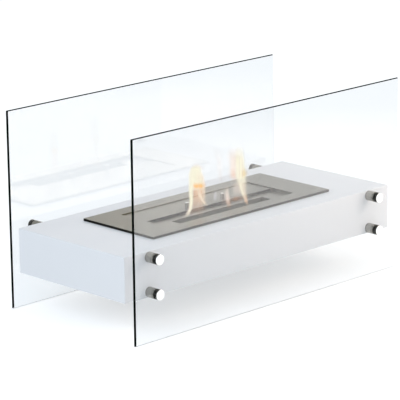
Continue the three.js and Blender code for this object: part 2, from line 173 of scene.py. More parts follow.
class Shape:
    """A mesh that is being built, in millimetres."""

    def __init__(self) -> None:
        """Starts with nothing in it."""
        self.mesh = bmesh.new()

    def loop(self, points: Iterable[Sequence[float]]) -> list[bmesh.types.BMVert]:
        """Adds a loop of vertices."""
        return [self.mesh.verts.new(point) for point in points]

    def bridge(
        self,
        first: list[bmesh.types.BMVert],
        second: list[bmesh.types.BMVert],
        finish: int = 0,
    ) -> None:
        """Joins two loops of equal length with a band of faces.

        Args:
            first: One loop.
            second: The other loop.
            finish: The material index of the band.
        """
        count = len(first)
        for step in range(count):
            after = (step + 1) % count
            face = self.mesh.faces.new((first[step], first[after], second[after], second[step]))
            face.material_index = finish

    def skin(
        self,
        loops: Sequence[Iterable[Sequence[float]]],
        closed: bool = False,
        finish_of: Callable[[Vector], int] = lambda middle: 0,
    ) -> "Shape":
        """Skins a row of loops into a solid.

        Args:
            loops: The loops, each with the same number of points.
            closed: True where the last loop joins the first, False where both ends are filled.
            finish_of: Gives a face's material index from its middle.

        Returns:
            The shape itself.
        """
        rows = [self.loop(points) for points in loops]
        start = len(self.mesh.faces)
        for first, second in zip(rows, rows[1:] + rows[:1] if closed else rows[1:]):
            self.bridge(first, second)
        if not closed:
            self.mesh.faces.new(rows[0][::-1])
            self.mesh.faces.new(rows[-1])
        self.mesh.faces.ensure_lookup_table()
        for face in self.mesh.faces[start:]:
            face.material_index = finish_of(face.calc_center_median())
        return self

    def turned(
        self,
        profile: Sequence[Point],
        steps: int,
        closed: bool = False,
        finish_of: Callable[[Vector], int] = lambda middle: 0,
    ) -> "Shape":
        """Turns a profile about Z.

        Args:
            profile: Its points, each a radius and a height in millimetres.
            steps: The steps around the axis.
            closed: True where the profile closes on itself, False where both ends are filled.
            finish_of: Gives a face's material index from its middle.

        Returns:
            The shape itself.
        """
        path = supported(list(profile) + [profile[0]] if closed else profile)
        path = path[:-1] if closed else path
        loops = [[(x, y, z) for x, y in circle(radius, steps)] for radius, z in path]
        return self.skin(loops, closed, finish_of)

    def block(self, low: Point, high: Point) -> "Shape":
        """Adds a plain block between two corners.

        Args:
            low: The corner with the least coordinates, in millimetres.
            high: The opposite corner.

        Returns:
            The shape itself.
        """
        middle = [(a + b) / 2 for a, b in zip(low, high)]
        place = Matrix.Translation(middle) @ Matrix.Diagonal([b - a for a, b in zip(low, high)] + [1])
        bmesh.ops.create_cube(self.mesh, size=1, matrix=place)
        return self

    def holed_plate(
        self,
        edge: Callable[[float], list[Point]],
        holes: Sequence[Callable[[float], list[Point]]],
        thickness: float,
        arris: float,
        band: float,
        finish_of: Callable[[Vector], int],
    ) -> "Shape":
        """Builds an upright plate with holes, its edges ground off by an arris.

        Args:
            edge: Gives the plate's outline, drawn in by so many millimetres.
            holes: Each gives a hole's outline, let out by so many millimetres.
            thickness: The plate's thickness along Y, in millimetres.
            arris: The width of the ground arris, in millimetres.
            band: The width of the strip of faces inside the outline's arris, in millimetres.
            finish_of: Gives the material index of a face of an edge or of a hole's wall from its middle.

        Returns:
            The shape itself.
        """
        sections = ((arris, 0.0), (arris * 0.3, arris * 0.3), (0.0, arris), (0.0, thickness - arris))
        sections += ((arris * 0.3, thickness - arris * 0.3), (arris, thickness))
        banded = ((arris + band, 0.0), *sections, (arris + band, thickness))
        faces: tuple[list, list] = ([], [])
        for make in (edge, *holes):
            path = banded if make is edge else sections
            rows = [self.loop((x, y, z) for x, z in make(inset)) for inset, y in path]
            for first, second in zip(rows, rows[1:]):
                self.bridge(first, second)
            for border, row in zip(faces, (rows[0], rows[-1])):
                border += [self.mesh.edges.get(pair) for pair in zip(row, row[1:] + row[:1])]
        for strip in self.mesh.faces:
            strip.material_index = finish_of(strip.calc_center_median())
        for border in faces:
            bmesh.ops.triangle_fill(self.mesh, use_beauty=True, edges=border)
        return self

    def moved(self, place: Matrix) -> "Shape":
        """Moves everything built so far."""
        bmesh.ops.transform(self.mesh, matrix=place, verts=self.mesh.verts)
        return self

    def object(
        self,
        name: str,
        materials: Sequence[bpy.types.Material],
        sharp: float = 40,
    ) -> bpy.types.Object:
        """Turns the shape into an object in metres at the origin.

        Args:
            name: The object's name.
            materials: Its materials, in the order of the faces' indices.
            sharp: The angle in degrees from which an edge is shaded sharp.

        Returns:
            The new object.
        """
        bmesh.ops.remove_doubles(self.mesh, verts=self.mesh.verts, dist=1e-4)
        bmesh.ops.recalc_face_normals(self.mesh, faces=self.mesh.faces)
        bmesh.ops.transform(self.mesh, matrix=Matrix.Scale(MM, 4), verts=self.mesh.verts)
        data = bpy.data.meshes.new(name)
        second = [face.material_index > 0 for face in self.mesh.faces]
        self.mesh.to_mesh(data)
        self.mesh.free()
        data.attributes.new("second_finish", "BOOLEAN", "FACE").data.foreach_set("value", second)
        for material in materials:
            data.materials.append(material)
        data.shade_smooth()
        data.set_sharp_from_angle(angle=math.radians(sharp))
        made = bpy.data.objects.new(name, data)
        bpy.context.scene.collection.objects.link(made)
        return made


# ---------------------------------------------------------------- node tools


class Graph:
    """A node tree with short ways to add and link nodes."""

    def __init__(self, tree: bpy.types.NodeTree) -> None:
        """Takes the tree that it writes to."""
        self.tree = tree

    def node(self, kind: str, inputs: dict | None = None, **settings: object) -> bpy.types.Node:
        """Adds a node.

        Args:
            kind: The node's type name.
            inputs: Values or output sockets for its inputs, by name or number.
            **settings: The node's own properties.

        Returns:
            The new node.
        """
        made = self.tree.nodes.new(kind)
        for name, value in settings.items():
            setattr(made, name, value)
        for key, value in (inputs or {}).items():
            socket = made.inputs[key]
            if isinstance(value, bpy.types.NodeSocket):
                self.tree.links.new(value, socket)
            else:
                socket.default_value = value
        return made

    def maths(
        self,
        operation: str,
        first: object,
        second: object = 0.0,
        clamp: bool = False,
    ) -> bpy.types.NodeSocket:
        """A Math node's result for two values or sockets."""
        made = self.node("ShaderNodeMath", {0: first, 1: second}, operation=operation, use_clamp=clamp)
        return made.outputs[0]

    def mixed(self, low: object, high: object, share: bpy.types.NodeSocket) -> bpy.types.NodeSocket:
        """A colour between two colours or colour sockets, by a share from 0 to 1.

        Args:
            low: The colour or socket at a share of 0.
            high: The colour or socket at a share of 1.
            share: The socket with the share.

        Returns:
            The mixed colour's socket.
        """
        mix = self.tree.nodes.new("ShaderNodeMix")
        mix.data_type = "RGBA"
        self.tree.links.new(share, mix.inputs["Factor"])
        ends = [socket for socket in mix.inputs if socket.type == "RGBA"]
        for socket, colour in zip(ends, (low, high)):
            if isinstance(colour, bpy.types.NodeSocket):
                self.tree.links.new(colour, socket)
            else:
                socket.default_value = (*colour, 1)
        return next(socket for socket in mix.outputs if socket.type == "RGBA")

    def scaled(self, share: bpy.types.NodeSocket, low: float, high: float) -> bpy.types.NodeSocket:
        """A share from 0 to 1, spread between two values."""
        return self.node("ShaderNodeMapRange", {"Value": share, "To Min": low, "To Max": high}).outputs[0]

    def place(self) -> bpy.types.NodeSocket:
        """The Object coordinates."""
        return self.node("ShaderNodeTexCoord").outputs["Object"]


class Effect(Enum):
    """The surface effects that several finishes share, each a node group."""

    GRAIN = "Drawn grain"
    MOTTLE = "Soft mottle"


class Effects:
    """Builds each shared effect's node group once and places it in materials."""

    def __init__(self) -> None:
        """Builds the groups."""
        self.groups = {
            Effect.GRAIN: self._grain(),
            Effect.MOTTLE: self._mottle(),
        }

    @staticmethod
    def _group(
        effect: Effect,
        inputs: dict[str, tuple[str, object]],
        outputs: dict[str, str],
    ) -> bpy.types.NodeTree:
        """Starts a group with named inputs and outputs.

        Args:
            effect: The effect that it is for.
            inputs: Each input's socket type and default, by name.
            outputs: Each output's socket type, by name.

        Returns:
            The group, with no nodes in it yet.
        """
        tree = bpy.data.node_groups.new(effect.value, "ShaderNodeTree")
        for name, (kind, value) in inputs.items():
            socket = tree.interface.new_socket(name, in_out="INPUT", socket_type=kind)
            if value is not None:
                socket.default_value = value
        for name, kind in outputs.items():
            tree.interface.new_socket(name, in_out="OUTPUT", socket_type=kind)
        return tree

    def _grain(self) -> bpy.types.NodeTree:
        """Fine lines drawn out along a direction, as brushing and turning leave them.

        Returns:
            The group, which puts out a mask and a height.
        """
        tree = self._group(
            Effect.GRAIN,
            {
                "Vector": ("NodeSocketVector", None),
                "Fineness": ("NodeSocketVector", (1.0, 1.0, 1.0)),
                "Seed": ("NodeSocketFloat", 0.0),
                "Contrast": ("NodeSocketFloat", 1.0),
            },
            {"Mask": "NodeSocketFloat", "Height": "NodeSocketFloat"},
        )
        graph = Graph(tree)
        given = graph.node("NodeGroupInput").outputs
        stretch = {0: given["Vector"], 1: given["Fineness"]}
        drawn = graph.node("ShaderNodeVectorMath", stretch, operation="MULTIPLY")
        noise = graph.node(
            "ShaderNodeTexNoise",
            {"Vector": drawn.outputs[0], "W": given["Seed"], "Scale": 1.0, "Detail": 5.0, "Roughness": 0.65},
            noise_dimensions="4D",
        )
        fine = graph.node(
            "ShaderNodeTexNoise",
            {"Vector": drawn.outputs[0], "W": given["Seed"], "Scale": 3.7, "Detail": 3.0, "Roughness": 0.6},
            noise_dimensions="4D",
        )
        coarse_part = graph.maths("MULTIPLY", noise.outputs[0], 0.6)
        fine_part = graph.maths("MULTIPLY", fine.outputs[0], 0.4)
        both = graph.maths("ADD", coarse_part, fine_part)
        around = graph.maths("MULTIPLY", graph.maths("SUBTRACT", both, 0.5), given["Contrast"])
        mask = graph.maths("ADD", around, 0.5, clamp=True)
        graph.node("NodeGroupOutput", {"Mask": mask, "Height": both})
        return tree

    def _mottle(self) -> bpy.types.NodeTree:
        """Slow soft variation, for colour and sheen.

        Returns:
            The group, which puts out a value.
        """
        tree = self._group(
            Effect.MOTTLE,
            {
                "Vector": ("NodeSocketVector", None),
                "Scale": ("NodeSocketFloat", 10.0),
                "Seed": ("NodeSocketFloat", 0.0),
                "Low": ("NodeSocketFloat", 0.0),
                "High": ("NodeSocketFloat", 1.0),
            },
            {"Value": "NodeSocketFloat"},
        )
        graph = Graph(tree)
        given = graph.node("NodeGroupInput").outputs
        noise = graph.node(
            "ShaderNodeTexNoise",
            {
                "Vector": given["Vector"],
                "W": given["Seed"],
                "Scale": given["Scale"],
                "Detail": 4.0,
                "Roughness": 0.55,
            },
            noise_dimensions="4D",
        )
        soft = graph.node("ShaderNodeMapRange", {"Value": noise.outputs[0], "From Min": 0.3, "From Max": 0.7})
        span = graph.maths("SUBTRACT", given["High"], given["Low"])
        value = graph.maths("ADD", graph.maths("MULTIPLY", soft.outputs[0], span), given["Low"])
        graph.node("NodeGroupOutput", {"Value": value})
        return tree

    def add(self, graph: Graph, effect: Effect, inputs: dict) -> bpy.types.bpy_prop_collection:
        """Places an effect in a material.

        Args:
            graph: The material's graph.
            effect: The effect to place.
            inputs: Values or sockets for the group's inputs.

        Returns:
            The group's outputs.
        """
        return graph.node("ShaderNodeGroup", inputs, node_tree=self.groups[effect]).outputs


# ---------------------------------------------------------------- finishes


def new_material(name: str) -> tuple[bpy.types.Material, Graph, bpy.types.Node]:
    """Starts a material with a Principled shader.

    Args:
        name: The material's name.

    Returns:
        The material, its graph and its shader.
    """
    material = bpy.data.materials.new(name)
    material.use_nodes = True
    material.node_tree.nodes.clear()
    graph = Graph(material.node_tree)
    shader = graph.node("ShaderNodeBsdfPrincipled")
    graph.node("ShaderNodeOutputMaterial", {"Surface": shader.outputs[0]})
    return material, graph, shader


def wire(graph: Graph, shader: bpy.types.Node, values: dict) -> None:
    """Sets or links the shader's inputs by name.

    Args:
        graph: The material's graph.
        shader: Its Principled shader.
        values: Values or sockets for its inputs, by name.
    """
    for name, value in values.items():
        if isinstance(value, bpy.types.NodeSocket):
            graph.tree.links.new(value, shader.inputs[name])
        else:
            is_colour = isinstance(value, tuple) and len(value) == 3
            shader.inputs[name].default_value = (*value, 1) if is_colour else value


@dataclass(frozen=True)
class Finish:
    """A finish of the object: each kind gives its Principled shader's values."""

    name: str

    def values(self, graph: Graph, effects: Effects) -> dict[str, object]:
        """The shader's values and sockets by name; each kind of finish has its own."""
        raise NotImplementedError

    def material(self, effects: Effects) -> bpy.types.Material:
        """Builds the finish's material.

        Args:
            effects: The shared effects.

        Returns:
            The material.
        """
        material, graph, shader = new_material(self.name)
        wire(graph, shader, self.values(graph, effects))
        return material


@dataclass(frozen=True)
class ClearGlass(Finish):
    """Clear float glass, with faint smears that change its mirroring a little."""

    tint: Colour = (0.87, 0.885, 0.895)
    coat: float = 0.45
    index: float = 1.5
    light_through: float = 0.92

    def values(self, graph: Graph, effects: Effects) -> dict[str, object]:
        """The tinted pane, clear to the light that falls through it.

        Args:
            graph: The material's graph.
            effects: The shared effects.

        Returns:
            The shader's values and sockets by name.
        """
        place = graph.place()
        tone = effects.add(graph, Effect.MOTTLE, {"Vector": place, "Scale": 3.0, "Seed": 11.0})["Value"]
        smear = effects.add(
            graph,
            Effect.MOTTLE,
            {"Vector": place, "Scale": 7.0, "Seed": 12.0, "Low": self.coat * 0.85, "High": self.coat * 1.1},
        )["Value"]
        rays = graph.node("ShaderNodeLightPath").outputs
        lit = graph.maths("MAXIMUM", rays["Is Shadow Ray"], rays["Is Diffuse Ray"])
        return {
            "Base Color": graph.mixed(tuple(c * 0.985 for c in self.tint), self.tint, tone),
            "Roughness": 0.0,
            "Transmission Weight": 1.0,
            "IOR": self.index,
            "Coat Weight": smear,
            "Coat Roughness": 0.0,
            "Alpha": graph.maths("SUBTRACT", 1.0, graph.maths("MULTIPLY", lit, self.light_through)),
        }


@dataclass(frozen=True)
class GlassEdgePaintedShade(Finish):
    """The polished edge of a pane, painted near-black as shade: dark from outside and clear from inside."""

    name: str = "glass_edge_painted_shade"
    # Painted shade: near-black, standing for the dark look that a glass edge has from outside.
    colour: Colour = (0.0015, 0.0025, 0.002)

    def values(self, graph: Graph, effects: Effects) -> dict[str, object]:
        """The edge's near-black painted shade, with no mirroring, and nothing to see of it from inside the
        pane.

        Args:
            graph: The material's graph.
            effects: The shared effects.

        Returns:
            The shader's values and sockets by name.
        """
        place = graph.place()
        drawn = {"Vector": place, "Fineness": (60.0, 900.0, 60.0), "Seed": 3.0}
        grain = effects.add(graph, Effect.GRAIN, drawn)
        inside = graph.node("ShaderNodeNewGeometry").outputs["Backfacing"]
        return {
            "Base Color": graph.mixed(self.colour, tuple(c * 3 for c in self.colour), grain["Mask"]),
            "Roughness": graph.scaled(grain["Mask"], 0.3, 0.5),
            "Specular IOR Level": 0.0,
            "IOR": 1.0,
            "Alpha": graph.maths("SUBTRACT", 1.0, inside),
        }


@dataclass(frozen=True)
class PowderCoat(Finish):
    """Baked white powder paint with a fine orange peel."""

    name: str = "white_powder_coat"
    colour: Colour = (0.785, 0.795, 0.81)
    roughness: float = 0.42
    peel: float = 0.00006

    def values(self, graph: Graph, effects: Effects) -> dict[str, object]:
        """The paint, with its peel as a fine bump.

        Args:
            graph: The material's graph.
            effects: The shared effects.

        Returns:
            The shader's values and sockets by name.
        """
        place = graph.place()
        tone = effects.add(graph, Effect.MOTTLE, {"Vector": place, "Scale": 2.5, "Seed": 1.0})["Value"]
        sheen = effects.add(graph, Effect.MOTTLE, {"Vector": place, "Scale": 9.0, "Seed": 2.0})["Value"]
        deeper = tuple(c * 0.975 for c in self.colour)
        dimples = {"Vector": place, "Scale": 620.0, "Detail": 2.0, "Roughness": 0.5}
        peel = graph.node("ShaderNodeTexNoise", dimples).outputs[0]
        bump = graph.node("ShaderNodeBump", {"Strength": 0.35, "Distance": self.peel, "Height": peel})
        return {
            "Base Color": graph.mixed(deeper, self.colour, tone),
            "Roughness": graph.scaled(sheen, self.roughness - 0.04, self.roughness + 0.05),
            "Specular IOR Level": 0.35,
            "Normal": bump.outputs[0],
        }


@dataclass(frozen=True)
class Steel(Finish):
    """Stainless steel with lines drawn along one direction, and where asked a painted shade band, whose
    places are in metres along Y.
    """

    colour: Colour
    roughness: float
    fineness: Colour
    seed: float = 0.0
    spread: float = 0.08
    contrast: float = 1.6
    depth: float = 0.00002
    blotch: float = 0.05
    # Painted shade: a darker band along Y in front of the damper's lip, standing for the lip's shade and its
    # dark reflection in the recess floor.
    painted_shade: float = 0.0
    painted_shade_colour: Colour = (0.092, 0.074, 0.056)
    painted_shade_from: float = -0.024
    painted_shade_to: float = -0.008
    painted_shade_end: float = 0.0
    painted_shade_gone: float = 0.03

    def values(self, graph: Graph, effects: Effects) -> dict[str, object]:
        """The drawn lines and slow blotches, and the painted shade band along Y where the finish has one.

        Args:
            graph: The material's graph.
            effects: The shared effects.

        Returns:
            The shader's values and sockets by name.
        """
        place = graph.place()
        grain = effects.add(
            graph,
            Effect.GRAIN,
            {"Vector": place, "Fineness": self.fineness, "Seed": self.seed, "Contrast": self.contrast},
        )
        slow = {"Vector": place, "Scale": 14.0, "Seed": self.seed + 5}
        blotch = effects.add(graph, Effect.MOTTLE, slow)["Value"]
        lines = graph.maths("MULTIPLY", grain["Mask"], 0.7)
        share = graph.maths("ADD", lines, graph.maths("MULTIPLY", blotch, 0.3))
        low = tuple(c * (1 - self.blotch) for c in self.colour)
        high = tuple(min(1.0, c * (1 + self.blotch)) for c in self.colour)
        relief = {"Strength": 0.3, "Distance": self.depth, "Height": grain["Height"]}
        bump = graph.node("ShaderNodeBump", relief)
        colour = graph.mixed(low, high, share)
        # Painted shade: darkens the colour in a band along Y.
        if self.painted_shade:
            along = graph.node("ShaderNodeSeparateXYZ", {0: place}).outputs[1]
            starts = {"From Min": self.painted_shade_from, "From Max": self.painted_shade_to, "To Max": self.painted_shade}
            ends = {"From Min": self.painted_shade_end, "From Max": self.painted_shade_gone, "To Min": 1.0, "To Max": 0.0}
            shade_share, shade_fade = (
                graph.node("ShaderNodeMapRange", {"Value": along, **limits}, interpolation_type="SMOOTHSTEP")
                for limits in (starts, ends)
            )
            shade_share = graph.maths("MULTIPLY", shade_share.outputs[0], shade_fade.outputs[0])
            colour = graph.mixed(colour, self.painted_shade_colour, shade_share)
        least, most = self.roughness - self.spread / 2, self.roughness + self.spread / 2
        return {
            "Base Color": colour,
            "Metallic": 1.0,
            "Roughness": graph.scaled(share, least, most),
            "Normal": bump.outputs[0],
        }


@dataclass(frozen=True)
class Rubber(Finish):
    """Matt black rubber with a slight moulding texture."""

    name: str = "black_rubber"
    colour: Colour = (0.010, 0.010, 0.009)

    def values(self, graph: Graph, effects: Effects) -> dict[str, object]:
        """The rubber, mottled a little in colour and sheen.

        Args:
            graph: The material's graph.
            effects: The shared effects.

        Returns:
            The shader's values and sockets by name.
        """
        place = graph.place()
        tone = effects.add(graph, Effect.MOTTLE, {"Vector": place, "Scale": 160.0, "Seed": 4.0})["Value"]
        bump = graph.node("ShaderNodeBump", {"Strength": 0.4, "Distance": 0.00005, "Height": tone})
        return {
            "Base Color": graph.mixed(self.colour, tuple(c * 1.8 for c in self.colour), tone),
            "Roughness": graph.scaled(tone, 0.6, 0.75),
            "Specular IOR Level": 0.3,
            "Normal": bump.outputs[0],
        }


@dataclass(frozen=True)
class Zinc(Finish):
    """Bright zinc plating with its crystal spangle."""

    name: str = "zinc_plate"
    colour: Colour = (0.55, 0.56, 0.56)

    def values(self, graph: Graph, effects: Effects) -> dict[str, object]:
        """The plating, each crystal a little lighter or darker.

        Args:
            graph: The material's graph.
            effects: The shared effects.

        Returns:
            The shader's values and sockets by name.
        """
        place = graph.place()
        spangle = graph.node("ShaderNodeTexVoronoi", {"Vector": place, "Scale": 420.0}, feature="F1")
        share = graph.node("ShaderNodeSeparateColor", {0: spangle.outputs["Color"]}).outputs[0]
        dulled = {"Vector": place, "Scale": 60.0, "Seed": 6.0, "Low": 0.3, "High": 0.45}
        worn = effects.add(graph, Effect.MOTTLE, dulled)
        return {
            "Base Color": graph.mixed(tuple(c * 0.85 for c in self.colour), self.colour, share),
            "Metallic": 1.0,
            "Roughness": worn["Value"],
        }


@dataclass(frozen=True)
class Wool(Finish):
    """Ceramic wool: pressed pale fibres."""

    name: str = "ceramic_wool"
    colour: Colour = (0.80, 0.79, 0.75)

    def values(self, graph: Graph, effects: Effects) -> dict[str, object]:
        """The fibres, drawn along the block.

        Args:
            graph: The material's graph.
            effects: The shared effects.

        Returns:
            The shader's values and sockets by name.
        """
        place = graph.place()
        drawn = {"Vector": place, "Fineness": (140.0, 520.0, 520.0), "Seed": 8.0, "Contrast": 2.4}
        fibres = effects.add(graph, Effect.GRAIN, drawn)
        bump = graph.node("ShaderNodeBump", {"Strength": 0.8, "Distance": 0.0006, "Height": fibres["Height"]})
        return {
            "Base Color": graph.mixed(tuple(c * 0.78 for c in self.colour), self.colour, fibres["Mask"]),
            "Roughness": graph.scaled(fibres["Mask"], 0.85, 1.0),
            "Normal": bump.outputs[0],
        }


@dataclass(frozen=True)
class Fire(Finish):
    """Flame: glow and opacity come from the mesh's own colours, broken up by rising streaks."""

    name: str = "flame"
    strength: float = 1.0

    def values(self, graph: Graph, effects: Effects) -> dict[str, object]:
        """The flame's own colours, with streaks in its opacity.

        Args:
            graph: The material's graph.
            effects: The shared effects.

        Returns:
            The shader's values and sockets by name.
        """
        glow = graph.node("ShaderNodeAttribute", attribute_name=GLOW)
        rising = {"Vector": graph.place(), "Fineness": (70.0, 70.0, 14.0), "Seed": 9.0, "Contrast": 1.5}
        streaks = effects.add(graph, Effect.GRAIN, rising)["Mask"]
        thinned = graph.scaled(streaks, 0.82, 1.1)
        return {
            "Base Color": (0.0, 0.0, 0.0),
            "Roughness": 1.0,
            "Specular IOR Level": 0.0,
            "Emission Color": glow.outputs["Color"],
            "Emission Strength": self.strength,
            "Alpha": graph.maths("MULTIPLY", glow.outputs["Alpha"], thinned, clamp=True),
        }


@dataclass
class Finishes:
    """Every finish of the object, each made once."""

    effects: Effects

    def __post_init__(self) -> None:
        """Makes the materials."""
        shared = self.effects
        self.front_glass = ClearGlass("glass_front").material(shared)
        self.rear_glass = ClearGlass("glass_rear").material(shared)
        # Near-black painted shade for the panes' edges.
        self.glass_edge_painted_shade = GlassEdgePaintedShade().material(shared)
        self.paint = PowderCoat().material(shared)
        along_x = (8.0, 900.0, 900.0)
        # The recess steel takes a painted shade band in front of the damper's lip.
        fine = {"spread": 0.05, "depth": 0.000005, "painted_shade": 0.8}
        gloss = {"spread": 0.03, "depth": 0.000002, "blotch": 0.02}
        steels = (
            Steel("satin_steel", (0.176, 0.175, 0.148), 0.34, along_x, 1),
            Steel("recess_steel", (0.181, 0.177, 0.152), 0.32, along_x, 2, **fine),
            # Painted shade: near-black steel for the shade and dark reflection on the flange's turned-down
            # edge and the damper's front lip.
            Steel("edge_painted_shade_steel", (0.014, 0.014, 0.012), 0.4, along_x, 3),
            Steel("turned_steel", (0.23, 0.225, 0.20), 0.26, (20.0, 2400.0, 20.0), 4),
            # Painted reflection: the caps' sides are dark, standing for dark surroundings mirrored in them.
            Steel("cap_side_steel", (0.06, 0.06, 0.055), 0.12, (900.0, 30.0, 900.0), 7, 0.04, depth=0.000002),
            Steel("polished_steel", (0.92, 0.92, 0.91), 0.07, (30.0, 600.0, 30.0), 5, **gloss),
            Steel("peg_steel", (0.60, 0.60, 0.59), 0.2, (30.0, 30.0, 900.0), 6, 0.06, depth=0.00001),
        )
        made = [steel.material(shared) for steel in steels]
        self.satin, self.recess, self.dark_edge, self.turned, self.cap_side, self.polished, self.peg = made
        self.rubber = Rubber().material(shared)
        self.zinc = Zinc().material(shared)
        self.wool = Wool().material(shared)
        self.fire = Fire().material(shared)


# ---------------------------------------------------------------- assemblies


def dress(piece: bpy.types.Object, body: str, slot: str, *nodes: str) -> bpy.types.Object:
    """Gives a piece its body, and hides the CAD nodes that it stands for.

    Args:
        piece: The finished piece.
        body: The CAD body that it rides on.
        slot: The record's material slot; not used.
        *nodes: The CAD nodes that it stands for.

    Returns:
        The piece.
    """
    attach(piece, body)
    if nodes:
        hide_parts(*nodes)
    stands_for = ", ".join(nodes) or "no node"
    LOG.info("%s: %d faces, rides on %s, for %s", piece.name, len(piece.data.polygons), body, stands_for)
    return piece


def refinish(names: Iterable[str], material: bpy.types.Material) -> None:
    """Gives CAD nodes that stay in view a new material.

    Args:
        names: The CAD nodes' names.
        material: The material that they get.
    """
    for name in names:
        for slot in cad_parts[name].material_slots:
            slot.link = "OBJECT"
            slot.material = material
        LOG.info("%s: CAD node kept, finish %s", name, material.name)


@dataclass(frozen=True)
class Mark:
    """A place for one copy of a repeated part, in millimetres, and its turn about X in degrees."""

    x: float
    y: float
    z: float
    turn: float = 0.0


class Repeater:
    """Sets copies of a part on marks with a Geometry Nodes tree."""

    def __init__(self) -> None:
        """Builds the tree."""
        tree = bpy.data.node_groups.new("Part on marks", "GeometryNodeTree")
        self.sockets = {}
        for name, kind in (
            ("Marks", "NodeSocketGeometry"),
            ("Part", "NodeSocketObject"),
            ("Scale", "NodeSocketFloat"),
            ("Finish", "NodeSocketMaterial"),
            ("Second finish", "NodeSocketMaterial"),
        ):
            self.sockets[name] = tree.interface.new_socket(name, in_out="INPUT", socket_type=kind).identifier
        tree.interface.new_socket("Parts", in_out="OUTPUT", socket_type="NodeSocketGeometry")
        graph = Graph(tree)
        given = graph.node("NodeGroupInput").outputs
        part = graph.node("GeometryNodeObjectInfo", {"Object": given["Part"], "As Instance": True})
        turn = graph.node("GeometryNodeInputNamedAttribute", {"Name": "turn"}, data_type="FLOAT_VECTOR")
        rotation = graph.node("FunctionNodeEulerToRotation", {0: turn.outputs[0]})
        copies = graph.node(
            "GeometryNodeInstanceOnPoints",
            {
                "Points": given["Marks"],
                "Instance": part.outputs["Geometry"],
                "Rotation": rotation.outputs[0],
                "Scale": given["Scale"],
            },
        )
        solid = graph.node("GeometryNodeRealizeInstances", {0: copies.outputs[0]})
        second = graph.node("GeometryNodeInputNamedAttribute", {"Name": "second_finish"}, data_type="BOOLEAN")
        first = graph.node(
            "GeometryNodeSetMaterial",
            {"Geometry": solid.outputs[0], "Material": given["Finish"]},
        )
        done = graph.node(
            "GeometryNodeSetMaterial",
            {
                "Geometry": first.outputs[0],
                "Selection": second.outputs[0],
                "Material": given["Second finish"],
            },
        )
        graph.node("NodeGroupOutput", {0: done.outputs[0]})
        self.tree = tree

    def repeat(self, part: bpy.types.Object, marks: Sequence[Mark], name: str) -> bpy.types.Object:
        """Makes one plain mesh of all the copies.

        Args:
            part: The part at the origin, with one or two materials. It is used up.
            marks: The places of its copies.
            name: The new piece's name.

        Returns:
            The new piece.
        """
        points = bpy.data.meshes.new(name + "_marks")
        points.from_pydata([(mark.x * MM, mark.y * MM, mark.z * MM) for mark in marks], [], [])
        turns = points.attributes.new("turn", "FLOAT_VECTOR", "POINT")
        for datum, mark in zip(turns.data, marks):
            datum.vector = (math.radians(mark.turn), 0.0, 0.0)
        host = bpy.data.objects.new(name + "_host", points)
        bpy.context.scene.collection.objects.link(host)
        modifier = host.modifiers.new("Copies", "NODES")
        modifier.node_group = self.tree
        modifier[self.sockets["Part"]] = part
        modifier[self.sockets["Scale"]] = 1.0
        modifier[self.sockets["Finish"]] = part.data.materials[0]
        modifier[self.sockets["Second finish"]] = part.data.materials[-1]
        bpy.context.view_layer.update()
        shown = host.evaluated_get(bpy.context.evaluated_depsgraph_get())
        data = bpy.data.meshes.new_from_object(shown)
        data.name = name
        for used in (host, part):
            bpy.data.objects.remove(used)
        made = bpy.data.objects.new(name, data)
        bpy.context.scene.collection.objects.link(made)
        return made


@dataclass
class GlassPanels:
    """The two upright glass panels."""

    finishes: Finishes
    length: float = 900
    height: float = 484
    thickness: float = 5
    inner_face: float = 211
    arris: float = 0.8
    band: float = 0.9
    # Painted shade: the edge's dark strip reaches this far in on the left end's faces.
    left_painted_shade_band: float = 2.2
    corner: float = 1.5
    hole: float = 12
    hole_x: float = 376
    hole_heights: tuple[float, float] = (192.2, 108.8)

    def panel(self, name: str, near: float, glass: bpy.types.Material) -> bpy.types.Object:
        """Builds one panel.

        Args:
            name: The panel's name.
            near: The lower of its two Y faces, in millimetres.
            glass: The pane's material.

        Returns:
            The panel.
        """

        def edge(inset: float) -> list[Point]:
            """The panel's outline, drawn in by so many millimetres."""
            flat = outline(self.length / 2 - inset, self.height / 2 - inset, max(self.corner - inset, 0.2))
            # Widens the painted shade strip on the left end's faces.
            wider = (self.left_painted_shade_band - self.band) * max(0.0, inset - self.arris) / self.band
            return [(x + wider if x < 0 else x, z + self.height / 2) for x, z in flat]

        def hole(x: float, z: float) -> Callable[[float], list[Point]]:
            """The outline of the hole at a place, let out by so many millimetres."""
            return lambda inset: [(x + dx, z + dz) for dx, dz in circle(self.hole / 2 + inset, 40)]

        def finish(middle: Vector) -> int:
            """The near-black painted-shade edge finish, except on the arrises of the foot and of the right
            end, which stay clear.
            """
            ground = abs(middle.y - self.thickness / 2) > self.thickness / 2 - self.arris
            reach = self.arris + self.band + 0.2
            clear = middle.z < reach or middle.x > self.length / 2 - reach
            return 0 if ground and clear else 1

        holes = [hole(x, z) for x in (-self.hole_x, self.hole_x) for z in self.hole_heights]
        shape = Shape().holed_plate(edge, holes, self.thickness, self.arris, self.band, finish)
        shape.moved(Matrix.Translation((0, near, 0)))
        return shape.object(name, [glass, self.finishes.glass_edge_painted_shade], sharp=20)

    def build(self) -> None:
        """Builds and dresses both panels."""
        for name, near, glass in (
            ("front_glass", -self.inner_face - self.thickness, self.finishes.front_glass),
            ("rear_glass", self.inner_face, self.finishes.rear_glass),
        ):
            dress(self.panel(name + "_panel", near, glass), "hearth", "glass", name)


